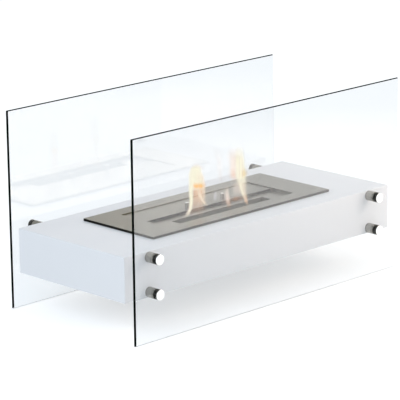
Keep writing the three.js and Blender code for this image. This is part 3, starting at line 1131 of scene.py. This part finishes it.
@dataclass
class Housing:
    """The folded white housing, its base cover and the cover's screws."""

    finishes: Finishes
    repeater: Repeater
    length: float = 900
    depth: float = 366
    bottom: float = 96
    top: float = 205
    sheet: float = 1.5
    bend: float = 1.5
    corner: float = 2.0
    cut_length: float = 566
    cut_depth: float = 206
    tab: tuple[float, float] = (30, 14)
    tab_x: tuple[float, ...] = (-300, 0, 300)
    screw_y: float = 174.5
    bolt_hole: float = 8.6
    bolt_x: float = 376
    bolt_heights: tuple[float, float] = (192.2, 108.8)
    drill_reach: float = 6

    def shell(self) -> bpy.types.Object:
        """Builds the folded shell with its cut-out, its tabs and the holes for the stand-off bolts.

        Returns:
            The shell.
        """
        x, y = self.length / 2, self.depth / 2
        r = self.bend
        outer = [
            Level(x - r + dx, y - r + dx, self.corner - r + dx, self.top - r + dz)
            for dx, dz in arc((0, 0), r, 90, 0, 5)
        ]
        inner_x, inner_y = x - self.sheet, y - self.sheet
        path = [
            Level(self.cut_length / 2, self.cut_depth / 2, 1.0, self.top - self.sheet),
            Level(self.cut_length / 2, self.cut_depth / 2, 1.0, self.top - 0.15),
            Level(self.cut_length / 2 + 0.15, self.cut_depth / 2 + 0.15, 1.15, self.top),
            *outer,
            Level(x, y, self.corner, self.bottom + 0.2),
            Level(x - 0.2, y - 0.2, self.corner - 0.2, self.bottom),
            Level(inner_x, inner_y, 0.5, self.bottom),
            Level(inner_x, inner_y, 0.5, self.top - self.sheet),
        ]
        shape = Shape().skin(levels(path + path[:1])[:-1], closed=True)
        shell = shape.object("housing_folded_shell", [self.finishes.paint])
        self._drill(shell)
        return self._with_tabs(shell)

    def _drill(self, shell: bpy.types.Object) -> None:
        """Cuts the bolt holes through both long walls.

        Args:
            shell: The shell, which gets the holes.
        """
        cutter = Shape()
        for x in (-self.bolt_x, self.bolt_x):
            for z in self.bolt_heights:
                for side in (-1, 1):
                    ring = circle(self.bolt_hole / 2, 24)
                    reaches = (-self.drill_reach, self.drill_reach)
                    ends = [side * (self.depth / 2 + reach) for reach in reaches]
                    cutter.skin([[(x + dx, y, z + dz) for dx, dz in ring] for y in ends])
        tool = cutter.object("housing_drill", [])
        cut = shell.modifiers.new("Drill", "BOOLEAN")
        cut.object, cut.operation, cut.solver = tool, "DIFFERENCE", "EXACT"
        bpy.context.view_layer.update()
        shown = shell.evaluated_get(bpy.context.evaluated_depsgraph_get())
        data = bpy.data.meshes.new_from_object(shown)
        shell.modifiers.clear()
        shell.data = data
        data.shade_smooth()
        data.set_sharp_from_angle(angle=math.radians(30))
        bpy.data.objects.remove(tool)

    def _with_tabs(self, shell: bpy.types.Object) -> bpy.types.Object:
        """Adds the welded tabs that the base cover is screwed to.

        Args:
            shell: The shell, which gets the tabs.

        Returns:
            The same shell.
        """
        mesh = bmesh.new()
        mesh.from_mesh(shell.data)
        tabs = Shape()
        wall = self.depth / 2 - self.sheet
        low, high = self.bottom + self.sheet, self.bottom + 2 * self.sheet
        for x in self.tab_x:
            for side in (-1, 1):
                near, far = sorted((side * wall, side * (wall - self.tab[1])))
                tabs.block((x - self.tab[0] / 2, near, low), (x + self.tab[0] / 2, far, high))
        tabs.moved(Matrix.Scale(MM, 4))
        extra = bpy.data.meshes.new("tabs")
        tabs.mesh.to_mesh(extra)
        mesh.from_mesh(extra)
        mesh.to_mesh(shell.data)
        mesh.free()
        return shell

    def screw(self) -> bpy.types.Object:
        """Builds a pan-head screw, head down, with a hexagon socket.

        Returns:
            The screw, its head against the height 0.
        """
        steps = 24
        head = [(x, y, -0.9) for x, y in hexagon(2.5, steps)], [(x, y, -2.2) for x, y in hexagon(2.5, steps)]
        rim = [(1.7, -2.2), (2.6, -2.1), (3.4, -1.6), (3.9, -0.8), (4.0, -0.1), (3.9, 0.0)]
        rim += [(2.0, 0.0), (2.0, 4.6), (1.6, 5.0)]
        rings = [[(x, y, z) for x, y in circle(radius, steps)] for radius, z in rim]
        return Shape().skin([*head, *rings]).object("screw", [self.finishes.zinc])

    def build(self) -> None:
        """Builds and dresses the housing."""
        dress(self.shell(), "hearth", "white_paint", "housing_shell")
        marks = [Mark(x, side * self.screw_y, self.bottom) for side in (-1, 1) for x in self.tab_x]
        screws = self.repeater.repeat(self.screw(), marks, "base_screws")
        dress(screws, "hearth", "zinc_steel", *(f"base_screw_{number}" for number in range(1, 7)))
        refinish(["base_cover"], self.finishes.paint)


@dataclass
class StandOffs:
    """The eight glass stand-offs: barrels, gaskets, caps and bolts."""

    finishes: Finishes
    repeater: Repeater
    radius: float = 12.5
    barrel: float = 26
    bore: float = 4.3
    chamfer: float = 0.6
    gasket_inset: float = 0.4
    inner_gasket: float = 2
    glass: float = 5
    outer_gasket: float = 1
    cap: float = 7
    cap_rounding: float = 1.2
    stud: float = 4
    stud_start: float = 14
    seat: float = 183
    x: float = 376
    heights: tuple[float, float] = (192.2, 108.8)
    contact: float = 0.05

    def marks(self) -> list[Mark]:
        """The stand-offs' seats on the housing, with each one's turn outwards."""
        return [
            Mark(x, side * self.seat, z, -90 * side)
            for side in (-1, 1)
            for x in (-self.x, self.x)
            for z in self.heights
        ]

    def names(self, part: str) -> list[str]:
        """The CAD nodes of one part of all eight stand-offs."""
        return [
            f"{row}_{side}_{level}_{part}"
            for row in ("front", "rear")
            for side in ("left", "right")
            for level in ("upper", "lower")
        ]

    def barrel_profile(self) -> list[Point]:
        """The barrel's section: bored through, with rounded rims and a light turned groove at each end."""
        r, end, c = self.radius, self.barrel, self.chamfer
        rim = arc((r - c, c), c, -90, 0, 4)
        groove = [(r, 1.6), (r - 0.12, 1.75), (r - 0.12, 2.0), (r, 2.15)]
        low = rim + groove
        high = [(radius, end - height) for radius, height in reversed(low)]
        return [(self.bore, 0.0), *low, *high, (self.bore, end)]

    def ring_profile(self, start: float, end: float) -> list[Point]:
        """A gasket's section between two heights, with rounded rims.

        Args:
            start: The lower height, in millimetres.
            end: The upper height, in millimetres.

        Returns:
            The section's points.
        """
        r, soft = self.radius - self.gasket_inset, min(0.35, (end - start) / 3)
        rims = arc((r - soft, start + soft), soft, -90, 0, 3) + arc((r - soft, end - soft), soft, 0, 90, 3)
        return [(self.bore + 0.2, start), *rims, (self.bore + 0.2, end)]

    def cap_profile(self) -> list[Point]:
        """The cap's section with its stud: a rounded rim and a face that is crowned by a hair."""
        r, c = self.radius, self.cap_rounding
        seat = self.barrel + self.inner_gasket + self.glass + self.outer_gasket
        face = seat + self.cap
        return [
            (0.4, self.stud_start),
            (self.stud - 0.5, self.stud_start),
            (self.stud, self.stud_start + 0.5),
            (self.stud, seat),
            (r - 0.4, seat),
            *arc((r - 0.4, seat + 0.4), 0.4, -90, 0, 3),
            *arc((r - c, face - c), c, 0, 90, 6),
            (r - c - 1.5, face + 0.01),
            (0.4, face + 0.03),
        ]

    def on_side(self, middle: Vector) -> int:
        """The second finish, a dark painted reflection, on a cap's side, the first one elsewhere.

        Args:
            middle: A face's middle, in millimetres.

        Returns:
            The material index.
        """
        seat = self.barrel + self.inner_gasket + self.glass + self.outer_gasket
        around = math.hypot(middle.x, middle.y) > self.radius - 0.3
        return 1 if around and seat < middle.z < seat + self.cap - self.cap_rounding * 0.9 else 0

    def build(self) -> None:
        """Builds and dresses all the stand-offs."""
        seat = self.barrel + self.inner_gasket + self.glass
        parts = (
            ("barrel", self.barrel_profile(), True, 64, [self.finishes.turned], "brushed_barrel"),
            (
                "inner_gasket",
                self.ring_profile(self.barrel + self.contact, self.barrel + self.inner_gasket - self.contact),
                True,
                48,
                [self.finishes.rubber],
                "black_rubber",
            ),
            (
                "outer_gasket",
                self.ring_profile(seat + self.contact, seat + self.outer_gasket - self.contact / 2),
                True,
                48,
                [self.finishes.rubber],
                "black_rubber",
            ),
            (
                "cap",
                self.cap_profile(),
                False,
                64,
                [self.finishes.polished, self.finishes.cap_side],
                "polished_cap",
            ),
        )
        for name, profile, closed, steps, finish, slot in parts:
            part = Shape().turned(profile, steps, closed, self.on_side).object(name, finish)
            piece = self.repeater.repeat(part, self.marks(), f"standoff_{name}s")
            dress(piece, "hearth", slot, *self.names(name))
        refinish(self.names("bolt"), self.finishes.zinc)


@dataclass
class Burner:
    """The burner let into the housing: flange, recess pan, fuel tank, wool and outer tray."""

    finishes: Finishes
    flange_length: float = 602
    flange_depth: float = 240
    flange_top: float = 211
    flange_foot: float = 205
    flange_sheet: float = 2
    flange_corner: float = 1.5
    flange_bend: float = 0.6
    opening_length: float = 432
    opening_depth: float = 159
    floor: float = 203
    sheet: float = 1.5
    slot_length: float = 310
    slot_width: float = 38
    slot_y: float = -48
    collar_foot: float = 186.5
    fillet: float = 1.2
    slot_bend: float = 0.7
    wool: tuple[float, float, float, float] = (346, 56, 137.2, 185.5)

    def flange(self) -> bpy.types.Object:
        """Builds the plate with its turned-down edge, painted near-black as shade, and its rectangular
        opening.

        Returns:
            The flange.
        """
        x, y, r = self.flange_length / 2, self.flange_depth / 2, self.flange_bend
        ox, oy = self.opening_length / 2, self.opening_depth / 2
        under = self.flange_top - self.flange_sheet
        bend = [
            Level(x - r + dx, y - r + dx, self.flange_corner - r + dx, self.flange_top - r + dz)
            for dx, dz in arc((0, 0), r, 90, 0, 4)
        ]
        inner = self.flange_sheet
        path = [
            Level(ox, oy, 0.8, under),
            Level(ox, oy, 0.8, self.flange_top - 0.3),
            Level(ox + 0.09, oy + 0.09, 0.89, self.flange_top - 0.09),
            Level(ox + 0.3, oy + 0.3, 1.1, self.flange_top),
            Level(ox + 0.7, oy + 0.7, 1.5, self.flange_top),
            Level(x - r - 0.4, y - r - 0.4, self.flange_corner, self.flange_top),
            *bend,
            Level(x, y, self.flange_corner, self.flange_foot + 0.15),
            Level(x - 0.15, y - 0.15, self.flange_corner, self.flange_foot + 0.02),
            Level(x - inner, y - inner, 0.6, self.flange_foot + 0.02),
            Level(x - inner, y - inner, 0.6, under),
        ]
        edge_from = self.flange_top - 0.12 * r

        def finish(middle: Vector) -> int:
            """The near-black painted shade below the bend's upper part, the satin finish elsewhere."""
            outside = abs(middle.x) > x - 1 or abs(middle.y) > y - 1
            return 1 if outside and self.flange_foot + 0.3 < middle.z < edge_from else 0

        shape = Shape().skin(levels(path + path[:1])[:-1], closed=True, finish_of=finish)
        return shape.object("burner_flange_plate", [self.finishes.satin, self.finishes.dark_edge])

    def pan(self) -> bpy.types.Object:
        """Builds the recess: its walls, its floor, and the slot with its collar.

        Returns:
            The recess pan.
        """
        ox, oy = self.opening_length / 2, self.opening_depth / 2
        sx, sy, at = self.slot_length / 2, self.slot_width / 2, self.slot_y
        rim, t, under = self.flange_top - self.flange_sheet - 0.05, self.sheet, self.floor - self.sheet
        f, b = self.fillet, self.slot_bend
        fillet = [
            Level(ox - f + dx, oy - f + dx, f, self.floor + f + dz)
            for dx, dz in arc((0, 0), f, -90, 0, 4)
        ]
        slot_edge = [
            Level(sx + b + dx, sy + b + dx, 1.2 + dx, self.floor - b + dz, at)
            for dx, dz in arc((0, 0), b, 180, 90, 4)
        ]
        path = [
            Level(ox + t, oy + t, 1.5, rim),
            Level(ox + t, oy + t, 1.5, under + 1),
            Level(ox + t - 0.3, oy + t - 0.3, 1.5, under + 0.3),
            Level(ox + t - 1, oy + t - 1, 1.2, under),
            Level(sx + t, sy + t, 1.5, under, at),
            Level(sx + t, sy + t, 1.5, self.collar_foot, at),
            Level(sx, sy, 0.5, self.collar_foot, at),
            *slot_edge,
            Level(sx + 1.1, sy + 1.1, 1.6, self.floor, at),
            Level(ox - 1.6, oy - 1.6, 1.2, self.floor),
            *fillet,
            Level(ox, oy, 1.0, self.floor + 1.6),
            Level(ox, oy, 1.0, rim),
        ]
        shape = Shape().skin(levels(path + path[:1])[:-1], closed=True)
        return shape.object("burner_recess_pan", [self.finishes.recess])

    def wool_block(self) -> bpy.types.Object:
        """Builds the block of ceramic wool, its top slightly crowned and uneven.

        Returns:
            The block.
        """
        length, width, bottom, top = self.wool
        columns, rows = 70, 14
        shape = Shape()
        grid = []
        for column in range(columns + 1):
            u = column / columns * 2 - 1
            line = []
            for row in range(rows + 1):
                v = row / rows * 2 - 1
                crown = (1 - u**6) * (1 - v**4)
                ripple = 0.25 * math.sin(9.1 * u + 3 * v) * math.sin(14.3 * u - 2.1 * v)
                height = top - 1.6 + crown * (1.3 + ripple)
                line.append(shape.mesh.verts.new((u * length / 2, self.slot_y + v * width / 2, height)))
            grid.append(line)
        for first, second in zip(grid, grid[1:]):
            for quad in zip(first, second, second[1:], first[1:]):
                shape.mesh.faces.new(quad)
        near, far = [line[0] for line in grid[1:]], [line[-1] for line in grid[-2:0:-1]]
        border = grid[0][::-1] + near + grid[-1][1:] + far
        lower = [shape.mesh.verts.new((vert.co.x, vert.co.y, bottom)) for vert in border]
        shape.bridge(border, lower)
        shape.mesh.faces.new(lower)
        return shape.object("ceramic_wool_block", [self.finishes.wool])

    def build(self) -> None:
        """Builds and dresses the burner."""
        dress(self.flange(), "hearth", "satin_steel", "burner_flange")
        dress(self.pan(), "hearth", "satin_steel", "burner_pan")
        block = dress(self.wool_block(), "hearth", "ceramic_wool", "ceramic_wool")
        refinish(["fuel_tank", "safety_tray"], self.finishes.satin)


@dataclass
class Damper:
    """The sliding damper: a folded plate and its two pegs."""

    finishes: Finishes
    repeater: Repeater
    half_length: float = 215.5
    front: float = -1.5
    rear: float = 79
    top: float = 208.5
    foot: float = 203.3
    sheet: float = 1.5
    bend: float = 1.3
    peg_radius: float = 5
    peg_height: float = 18
    peg_x: tuple[float, float] = (-69, 51)
    peg_y: float = 5
    rivet_radius: float = 2.5
    rivet_foot: float = -2.7

    def plate(self) -> bpy.types.Object:
        """Builds the plate, its front and rear edges turned down with a rounded bend.

        Returns:
            The plate.
        """
        r, t = self.bend, self.sheet
        inner = 0.4
        section = [
            (self.front, self.foot),
            *arc((self.front + r, self.top - r), r, 180, 90, 5),
            *arc((self.rear - r, self.top - r), r, 90, 0, 5),
            (self.rear, self.foot),
            (self.rear - t, self.foot),
            *arc((self.rear - t - inner, self.top - t - inner), inner, 0, 90, 2),
            *arc((self.front + t + inner, self.top - t - inner), inner, 90, 180, 2),
            (self.front + t, self.foot),
        ]
        section = supported(section + section[:1])[:-1]
        ends = (-self.half_length, -self.half_length + 0.3, self.half_length - 0.3, self.half_length)

        def finish(middle: Vector) -> int:
            """The near-black painted shade on the front lip's face, the satin finish elsewhere."""
            return 1 if middle.y < self.front + 0.8 * r else 0

        shape = Shape().skin([[(x, y, z) for y, z in section] for x in ends], finish_of=finish)
        return shape.object("damper_folded_plate", [self.finishes.satin, self.finishes.dark_edge])

    def peg(self) -> bpy.types.Object:
        """Builds an upright peg with a rounded top rim and its rivet."""
        r, h = self.peg_radius, self.peg_height
        profile = [
            (0.3, self.rivet_foot),
            (self.rivet_radius, self.rivet_foot),
            (self.rivet_radius, 0.02),
            (r - 0.25, 0.02),
            (r, 0.25),
            *arc((r - 0.5, h - 0.5), 0.5, 0, 90, 4),
            (r - 1.5, h + 0.01),
            (0.3, h + 0.02),
        ]
        return Shape().turned(profile, 64).object("peg", [self.finishes.peg])

    def build(self) -> None:
        """Builds and dresses the damper."""
        dress(self.plate(), "damper", "satin_steel", "damper_plate")
        marks = [Mark(x, self.peg_y, self.top) for x in self.peg_x]
        pegs = self.repeater.repeat(self.peg(), marks, "damper_pegs")
        dress(pegs, "damper", "polished_cap", "damper_peg_left", "damper_peg_right")


@dataclass(frozen=True)
class Tongue:
    """A tongue of flame: a rising line of places across and up, in millimetres, with its width and glow."""

    path: tuple[tuple[float, float], ...]
    widths: tuple[float, ...]
    colour: Colour
    opacity: float
    fade_low: float = 0.12
    fade_high: float = 0.2
    edge: float = 3.0

    def at(self, across: float, height: float) -> float:
        """Its opacity at a place.

        Args:
            across: Millimetres across the flame.
            height: Millimetres up.

        Returns:
            The opacity, from 0 to 1.
        """
        low, high = self.path[0][1], self.path[-1][1]
        if not low <= height <= high:
            return 0.0
        step = max(i for i in range(len(self.path) - 1) if self.path[i][1] <= height)
        (x0, z0), (x1, z1) = self.path[step], self.path[step + 1]
        share = (height - z0) / max(z1 - z0, 1e-6)
        smooth = share * share * (3 - 2 * share)
        middle = x0 + (x1 - x0) * smooth
        width = self.widths[step] + (self.widths[step + 1] - self.widths[step]) * smooth
        off = abs(across - middle) / max(width, 0.1)
        rise = (height - low) / (high - low)
        ends = min(1.0, rise / self.fade_low) * min(1.0, (1 - rise) / self.fade_high)
        return self.opacity * math.exp(-(off**self.edge)) * ends


@dataclass
class Flames:
    """The flames over the slot. They are no physical piece."""

    finishes: Finishes
    toward: float = -44.4
    slot_y: float = -48
    bulge: float = 5.0
    step: float = 1.4
    anchor: float = 204.5
    keep: float = 0.01
    margin: float = 1.7
    side_share: float = 0.6

    def tongues(self) -> dict[str, tuple[float, tuple[Tongue, ...]]]:
        """Each flame's place along the slot and its tongues, the later ones in front.

        Returns:
            The flames by name, each with its place along X in millimetres.
        """
        white, cream, amber, rose = (1.0, 0.94, 0.69), (1.02, 0.84, 0.62), (1.0, 0.44, 0.0), (1.0, 0.54, 0.28)
        tan, ember, brown = (0.84, 0.62, 0.26), (0.80, 0.42, 0.22), (0.56, 0.26, 0.12)
        pale, blush = (0.88, 0.85, 0.95), (1.0, 0.82, 0.70)
        left = (
            Tongue(
                ((-16, 204), (-8, 222), (-5.5, 245), (-4.5, 270), (-5, 292)),
                (20, 17, 15, 14, 14),
                *(rose, 0.74, 0.7, 0.1, 4),
            ),
            Tongue(((-7, 312), (-6, 324), (-8, 336)), (13, 11, 6), blush, 0.6, 0.3, 0.5, 2.5),
            Tongue(
                ((-8, 266), (-9, 280), (-10.2, 295), (-11.2, 306), (-10.8, 318), (-8.5, 331)),
                (14, 15.6, 16.5, 16, 12.6, 7),
                white,
                0.985,
                0.2,
                0.14,
                8,
            ),
            Tongue(((1, 286), (0, 296), (-3, 314)), (7, 8, 7), cream, 0.5, 0.3, 0.4, 3),
            Tongue(((-3.5, 270), (-3.5, 279), (-4.5, 289)), (12.5, 14, 13), amber, 0.95, 0.4, 0.5, 5),
            Tongue(
                ((17, 227), (9.6, 235.5), (3.3, 245), (-1.7, 258), (-5, 273)),
                (2.8, 3.2, 3.8, 4.6, 5.5),
                *(cream, 0.8, 0.2, 0.35),
            ),
            Tongue(
                ((9, 240), (8.8, 262), (8.2, 280), (6.5, 298), (2, 316)),
                (2.4, 2.8, 3, 3.4, 4),
                *(cream, 0.5, 0.2, 0.3),
            ),
            Tongue(
                (
                    *((-38, 199), (-29, 211), (-24, 224), (-22, 242)),
                    *((-22.8, 262), (-22.6, 280), (-20.5, 297), (-16, 311)),
                ),
                (3, 3.6, 4, 4.5, 5, 5.4, 6, 6),
                white,
                0.98,
                0.16,
                0.3,
                4,
            ),
            Tongue(
                ((-41, 199), (-31, 209), (-26, 221), (-24, 234)),
                (4.5, 5.2, 5, 4),
                *(blush, 0.55, 0.3, 0.6, 2.5),
            ),
        )
        middle = (
            Tongue(((-4.8, 262), (-8.2, 318), (-15.4, 363)), (4, 6, 9), blush, 0.2, 0.3, 0.4, 2),
            Tongue(((-19.8, 224), (-18.3, 240), (-16.5, 256)), (3.4, 4, 2.6), pale, 0.35, 0.3, 0.4),
            Tongue(((15, 205), (14, 216), (11.5, 232), (11, 246)), (4, 5.6, 6, 5), ember, 0.5, 0.4, 0.6, 2.2),
            Tongue(
                ((13.5, 214), (11.2, 230), (10, 246), (10.6, 268)),
                (3, 4.6, 4.8, 3),
                *(blush, 0.72, 0.3, 0.5, 2.6),
            ),
        )
        right = (
            Tongue(((-17, 212), (-13, 220), (-9, 229)), (9, 10, 8), brown, 0.5, 0.3, 0.4, 2),
            Tongue(((-9, 222), (-9.5, 240), (-8, 266)), (9, 10, 11), blush, 0.4, 0.4, 0.2, 3),
            Tongue(
                ((-16, 264), (-17, 290), (-15, 312), (-16, 332), (-16, 350)),
                (9, 9, 12, 13, 13),
                *(blush, 0.88, 0.36, 0.35, 3),
            ),
            Tongue(((-14, 264), (-17, 279), (-20, 300)), (7, 8, 7), rose, 0.6, 0.45, 0.6, 2),
            Tongue(
                ((16.6, 203), (13.3, 212), (9, 226), (5, 244), (3, 262), (2, 272)),
                (2.4, 3.6, 5.4, 8, 10, 11),
                *(cream, 0.66, 0.2, 0.15),
            ),
            Tongue(
                ((2, 252), (0.8, 265), (-0.4, 280), (-1.5, 306), (-2.4, 330), (-2.6, 354)),
                (10, 11.5, 12, 11, 10, 8),
                white,
                0.98,
                0.2,
                0.35,
                5,
            ),
            Tongue(((16, 203), (12, 216), (8, 236)), (3.0, 4.4, 5.2), ember, 0.5, 0.3, 0.6),
            Tongue(
                ((8.4, 222), (3.6, 236), (0, 250), (-3.5, 268)),
                (2.6, 3.2, 3.6, 4.6),
                *(white, 0.7, 0.25, 0.3),
            ),
            Tongue(((7.5, 270), (8, 284), (7.5, 300)), (5, 6.5, 5), tan, 0.85, 0.4, 0.5, 2),
        )
        return {"flame_left": (-76.0, left), "flame_middle": (0.0, middle), "flame_right": (62.0, right)}

    def sheet(
        self,
        shape: Shape,
        glow: list[tuple[float, ...]],
        x: float,
        tongues: Sequence[Tongue],
        turn: float,
        share: float,
    ) -> None:
        """Adds one upright lens-shaped body of flame.

        Args:
            shape: The shape that it joins.
            glow: Takes each vertex's colour and opacity.
            x: The flame's place along the slot, in millimetres.
            tongues: The tongues that colour it.
            turn: The heading of its face, in degrees.
            share: How much of the tongues' width and opacity it shows.
        """
        low = min(t.path[0][1] for t in tongues)
        high = max(t.path[-1][1] for t in tongues)
        spots = [(p[0], self.margin * w) for t in tongues for p, w in zip(t.path, t.widths)]
        left, right = min(at - w for at, w in spots), max(at + w for at, w in spots)
        right_hand = Vector((math.cos(math.radians(turn)), math.sin(math.radians(turn)), 0))
        outward = Vector((-right_hand.y, right_hand.x, 0))
        centre = Vector((x, self.slot_y, 0))
        across_steps, rise_steps = round((right - left) / self.step), round((high - low) / self.step)
        rows = []
        for step in range(rise_steps + 1):
            height = low + (high - low) * step / rise_steps
            ring = []
            for k in range(2 * across_steps):
                side = 1 if k < across_steps else -1
                u = (k if side > 0 else 2 * across_steps - k) / across_steps
                across = left + (right - left) * u
                rise = math.sin(math.pi * min(1, 0.04 + 0.96 * step / rise_steps)) ** 0.5
                depth = side * self.bulge * math.sin(math.pi * u) * rise
                place = centre + right_hand * (across * share) + outward * depth
                ring.append((place.x, place.y, height))
                clear, mix = 1.0, Vector((0, 0, 0))
                for tongue in tongues:
                    part = tongue.at(across, height) * share
                    mix = mix * (1 - part) + Vector(tongue.colour) * part
                    clear *= 1 - part
                whole = 1 - clear
                colour = mix / whole if whole > 1e-4 else Vector(tongues[0].colour)
                edge = min(1.0, 4 * math.sin(math.pi * u))
                glow.append((*colour, (1 - math.sqrt(max(0.0, 1 - whole))) * edge))
            rows.append(ring)
        shape.skin(rows)

    def build(self) -> None:
        """Builds the flames, each of two crossed bodies."""
        for name, (x, tongues) in self.tongues().items():
            shape, glow = Shape(), []
            self.sheet(shape, glow, x, tongues, self.toward, 1.0)
            self.sheet(shape, glow, x, tongues, self.toward + 90, self.side_share)
            count = len(shape.mesh.verts)
            data = bpy.data.meshes.new(name)
            bmesh.ops.recalc_face_normals(shape.mesh, faces=shape.mesh.faces)
            shape.moved(Matrix.Scale(MM, 4)).mesh.to_mesh(data)
            shape.mesh.free()
            data.materials.append(self.finishes.fire)
            data.shade_smooth()
            colours = data.color_attributes.new(GLOW, "FLOAT_COLOR", "POINT")
            for index in range(count):
                colours.data[index].color = glow[index]
            piece = bpy.data.objects.new(name, data)
            bpy.context.scene.collection.objects.link(piece)
            piece.visible_shadow = False
            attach(piece, "hearth")
            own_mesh(piece)
            LOG.info("%s: %d faces, rides on hearth, sinks with the damper", name, len(data.polygons))


# ---------------------------------------------------------------- studio


@dataclass(frozen=True)
class Lamp:
    """A soft lamp: its place and target in metres, its size in metres and its power in watts."""

    name: str
    place: Colour
    target: Colour
    size: tuple[float, float]
    power: float
    colour: Colour = (1.0, 1.0, 1.0)

    def build(self) -> None:
        """Adds the lamp to the scene."""
        data = bpy.data.lights.new(self.name, "AREA")
        data.shape, data.size, data.size_y = "RECTANGLE", *self.size
        data.energy, data.color = self.power, self.colour
        lamp = bpy.data.objects.new(self.name, data)
        lamp.location = self.place
        heading = Vector(self.target) - Vector(self.place)
        lamp.rotation_euler = heading.to_track_quat("-Z", "Y").to_euler()
        lamp.visible_camera = False
        bpy.context.scene.collection.objects.link(lamp)


@dataclass
class Studio:
    """A plain pale floor, a white surround and soft lamps."""

    floor_half: float = 60.0
    floor_drop: float = 0.0004
    floor_colour: Colour = (0.90, 0.90, 0.89)
    floor_glow: float = 0.36
    ambient: float = 0.76
    sky: Colour = (0.95, 1.0, 1.05)
    lamps: tuple[Lamp, ...] = (
        Lamp("key", (1.2, -1.35, 0.95), (0.25, 0.0, 0.15), (1.0, 0.8), 13.3, (1.0, 0.84, 0.72)),
        Lamp("fill", (-3.0, -0.6, 2.2), (0.0, 0.0, 0.15), (2.2, 2.0), 27.0, (0.86, 1.0, 1.18)),
    )

    def floor(self) -> None:
        """Lays the plain floor, with the same glow where it is seen, mirrored or seen through glass."""
        material, graph, shader = new_material("studio_floor")
        rays = graph.node("ShaderNodeLightPath").outputs
        seen = graph.maths("MAXIMUM", rays["Is Camera Ray"], rays["Is Glossy Ray"])
        seen = graph.maths("MAXIMUM", seen, rays["Is Transmission Ray"])
        cloud = graph.node("ShaderNodeTexNoise", {"Vector": graph.place(), "Scale": 0.8, "Detail": 3.0})
        shade = tuple(c * 0.985 for c in self.floor_colour)
        paint = graph.mixed(shade, self.floor_colour, cloud.outputs[0])
        values = {
            "Base Color": paint,
            "Roughness": 1.0,
            "Specular IOR Level": 0.0,
            "Emission Color": (1.0, 1.0, 1.0),
            "Emission Strength": graph.maths("MULTIPLY", seen, self.floor_glow),
        }
        wire(graph, shader, values)
        data = bpy.data.meshes.new("studio_floor")
        h = self.floor_half
        corners = [(x, y, -self.floor_drop) for x, y in ((-h, -h), (h, -h), (h, h), (-h, h))]
        data.from_pydata(corners, [], [(0, 1, 2, 3)])
        data.materials.append(material)
        floor = bpy.data.objects.new("studio_floor", data)
        bpy.context.scene.collection.objects.link(floor)

    def surround(self) -> None:
        """Sets the surround: plain white to the eye, to mirrors and through glass, and softer as light."""
        world = bpy.data.worlds.new("studio_surround")
        world.use_nodes = True
        world.node_tree.nodes.clear()
        graph = Graph(world.node_tree)
        rays = graph.node("ShaderNodeLightPath").outputs
        seen = graph.maths("MAXIMUM", rays["Is Camera Ray"], rays["Is Glossy Ray"])
        seen = graph.maths("MAXIMUM", seen, rays["Is Transmission Ray"])
        colour = graph.mixed(self.sky, (1.0, 1.0, 1.0), seen)
        strength = graph.scaled(seen, self.ambient, 1.0)
        back = graph.node("ShaderNodeBackground", {"Color": colour, "Strength": strength})
        graph.node("ShaderNodeOutputWorld", {"Surface": back.outputs[0]})
        bpy.context.scene.world = world

    def build(self) -> None:
        """Builds the studio."""
        self.floor()
        self.surround()
        for lamp in self.lamps:
            lamp.build()
        bpy.context.scene.view_settings.view_transform = "Standard"
        LOG.info("studio: floor, surround, %d lamps", len(self.lamps))


@dataclass(frozen=True)
class PhotoCamera:
    """The camera at the photograph's angle, fitted to the object's known sizes."""

    azimuth: float = -44.404
    elevation: float = 14.842
    roll: float = -0.668
    focal: float = 2434.1
    place: Colour = (-4.0180, -4.0736, 1.7360)
    sensor: float = 36.0

    def build(self) -> None:
        """Makes the camera and gives it to the scene."""
        a, e, r = (math.radians(angle) for angle in (self.azimuth, self.elevation, self.roll))
        back = Vector((math.sin(a) * math.cos(e), -math.cos(a) * math.cos(e), math.sin(e)))
        level = (-back).cross(Vector((0, 0, 1))).normalized()
        over = level.cross(-back)
        right = level * math.cos(r) + over * math.sin(r)
        up = over * math.cos(r) - level * math.sin(r)
        data = bpy.data.cameras.new("photo_camera")
        data.sensor_width = self.sensor
        data.lens = self.focal * self.sensor / PICTURE
        data.clip_start, data.clip_end = 0.1, 200.0
        camera = bpy.data.objects.new("photo_camera", data)
        turn = Matrix((right, up, back)).transposed().to_4x4()
        camera.matrix_world = Matrix.Translation(self.place) @ turn
        bpy.context.scene.collection.objects.link(camera)
        bpy.context.scene.camera = camera
        LOG.info("camera: %.1f mm lens at %s", data.lens, tuple(self.place))


def main() -> None:
    """Builds the camera, the studio and each assembly in order."""
    logging.basicConfig(level=logging.INFO, format="%(name)s: %(message)s")
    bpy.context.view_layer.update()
    PhotoCamera().build()
    Studio().build()
    finishes = Finishes(Effects())
    repeater = Repeater()
    GlassPanels(finishes).build()
    Housing(finishes, repeater).build()
    StandOffs(finishes, repeater).build()
    Burner(finishes).build()
    Damper(finishes, repeater).build()
    Flames(finishes).build()


if __name__ == "__main__":
    main()
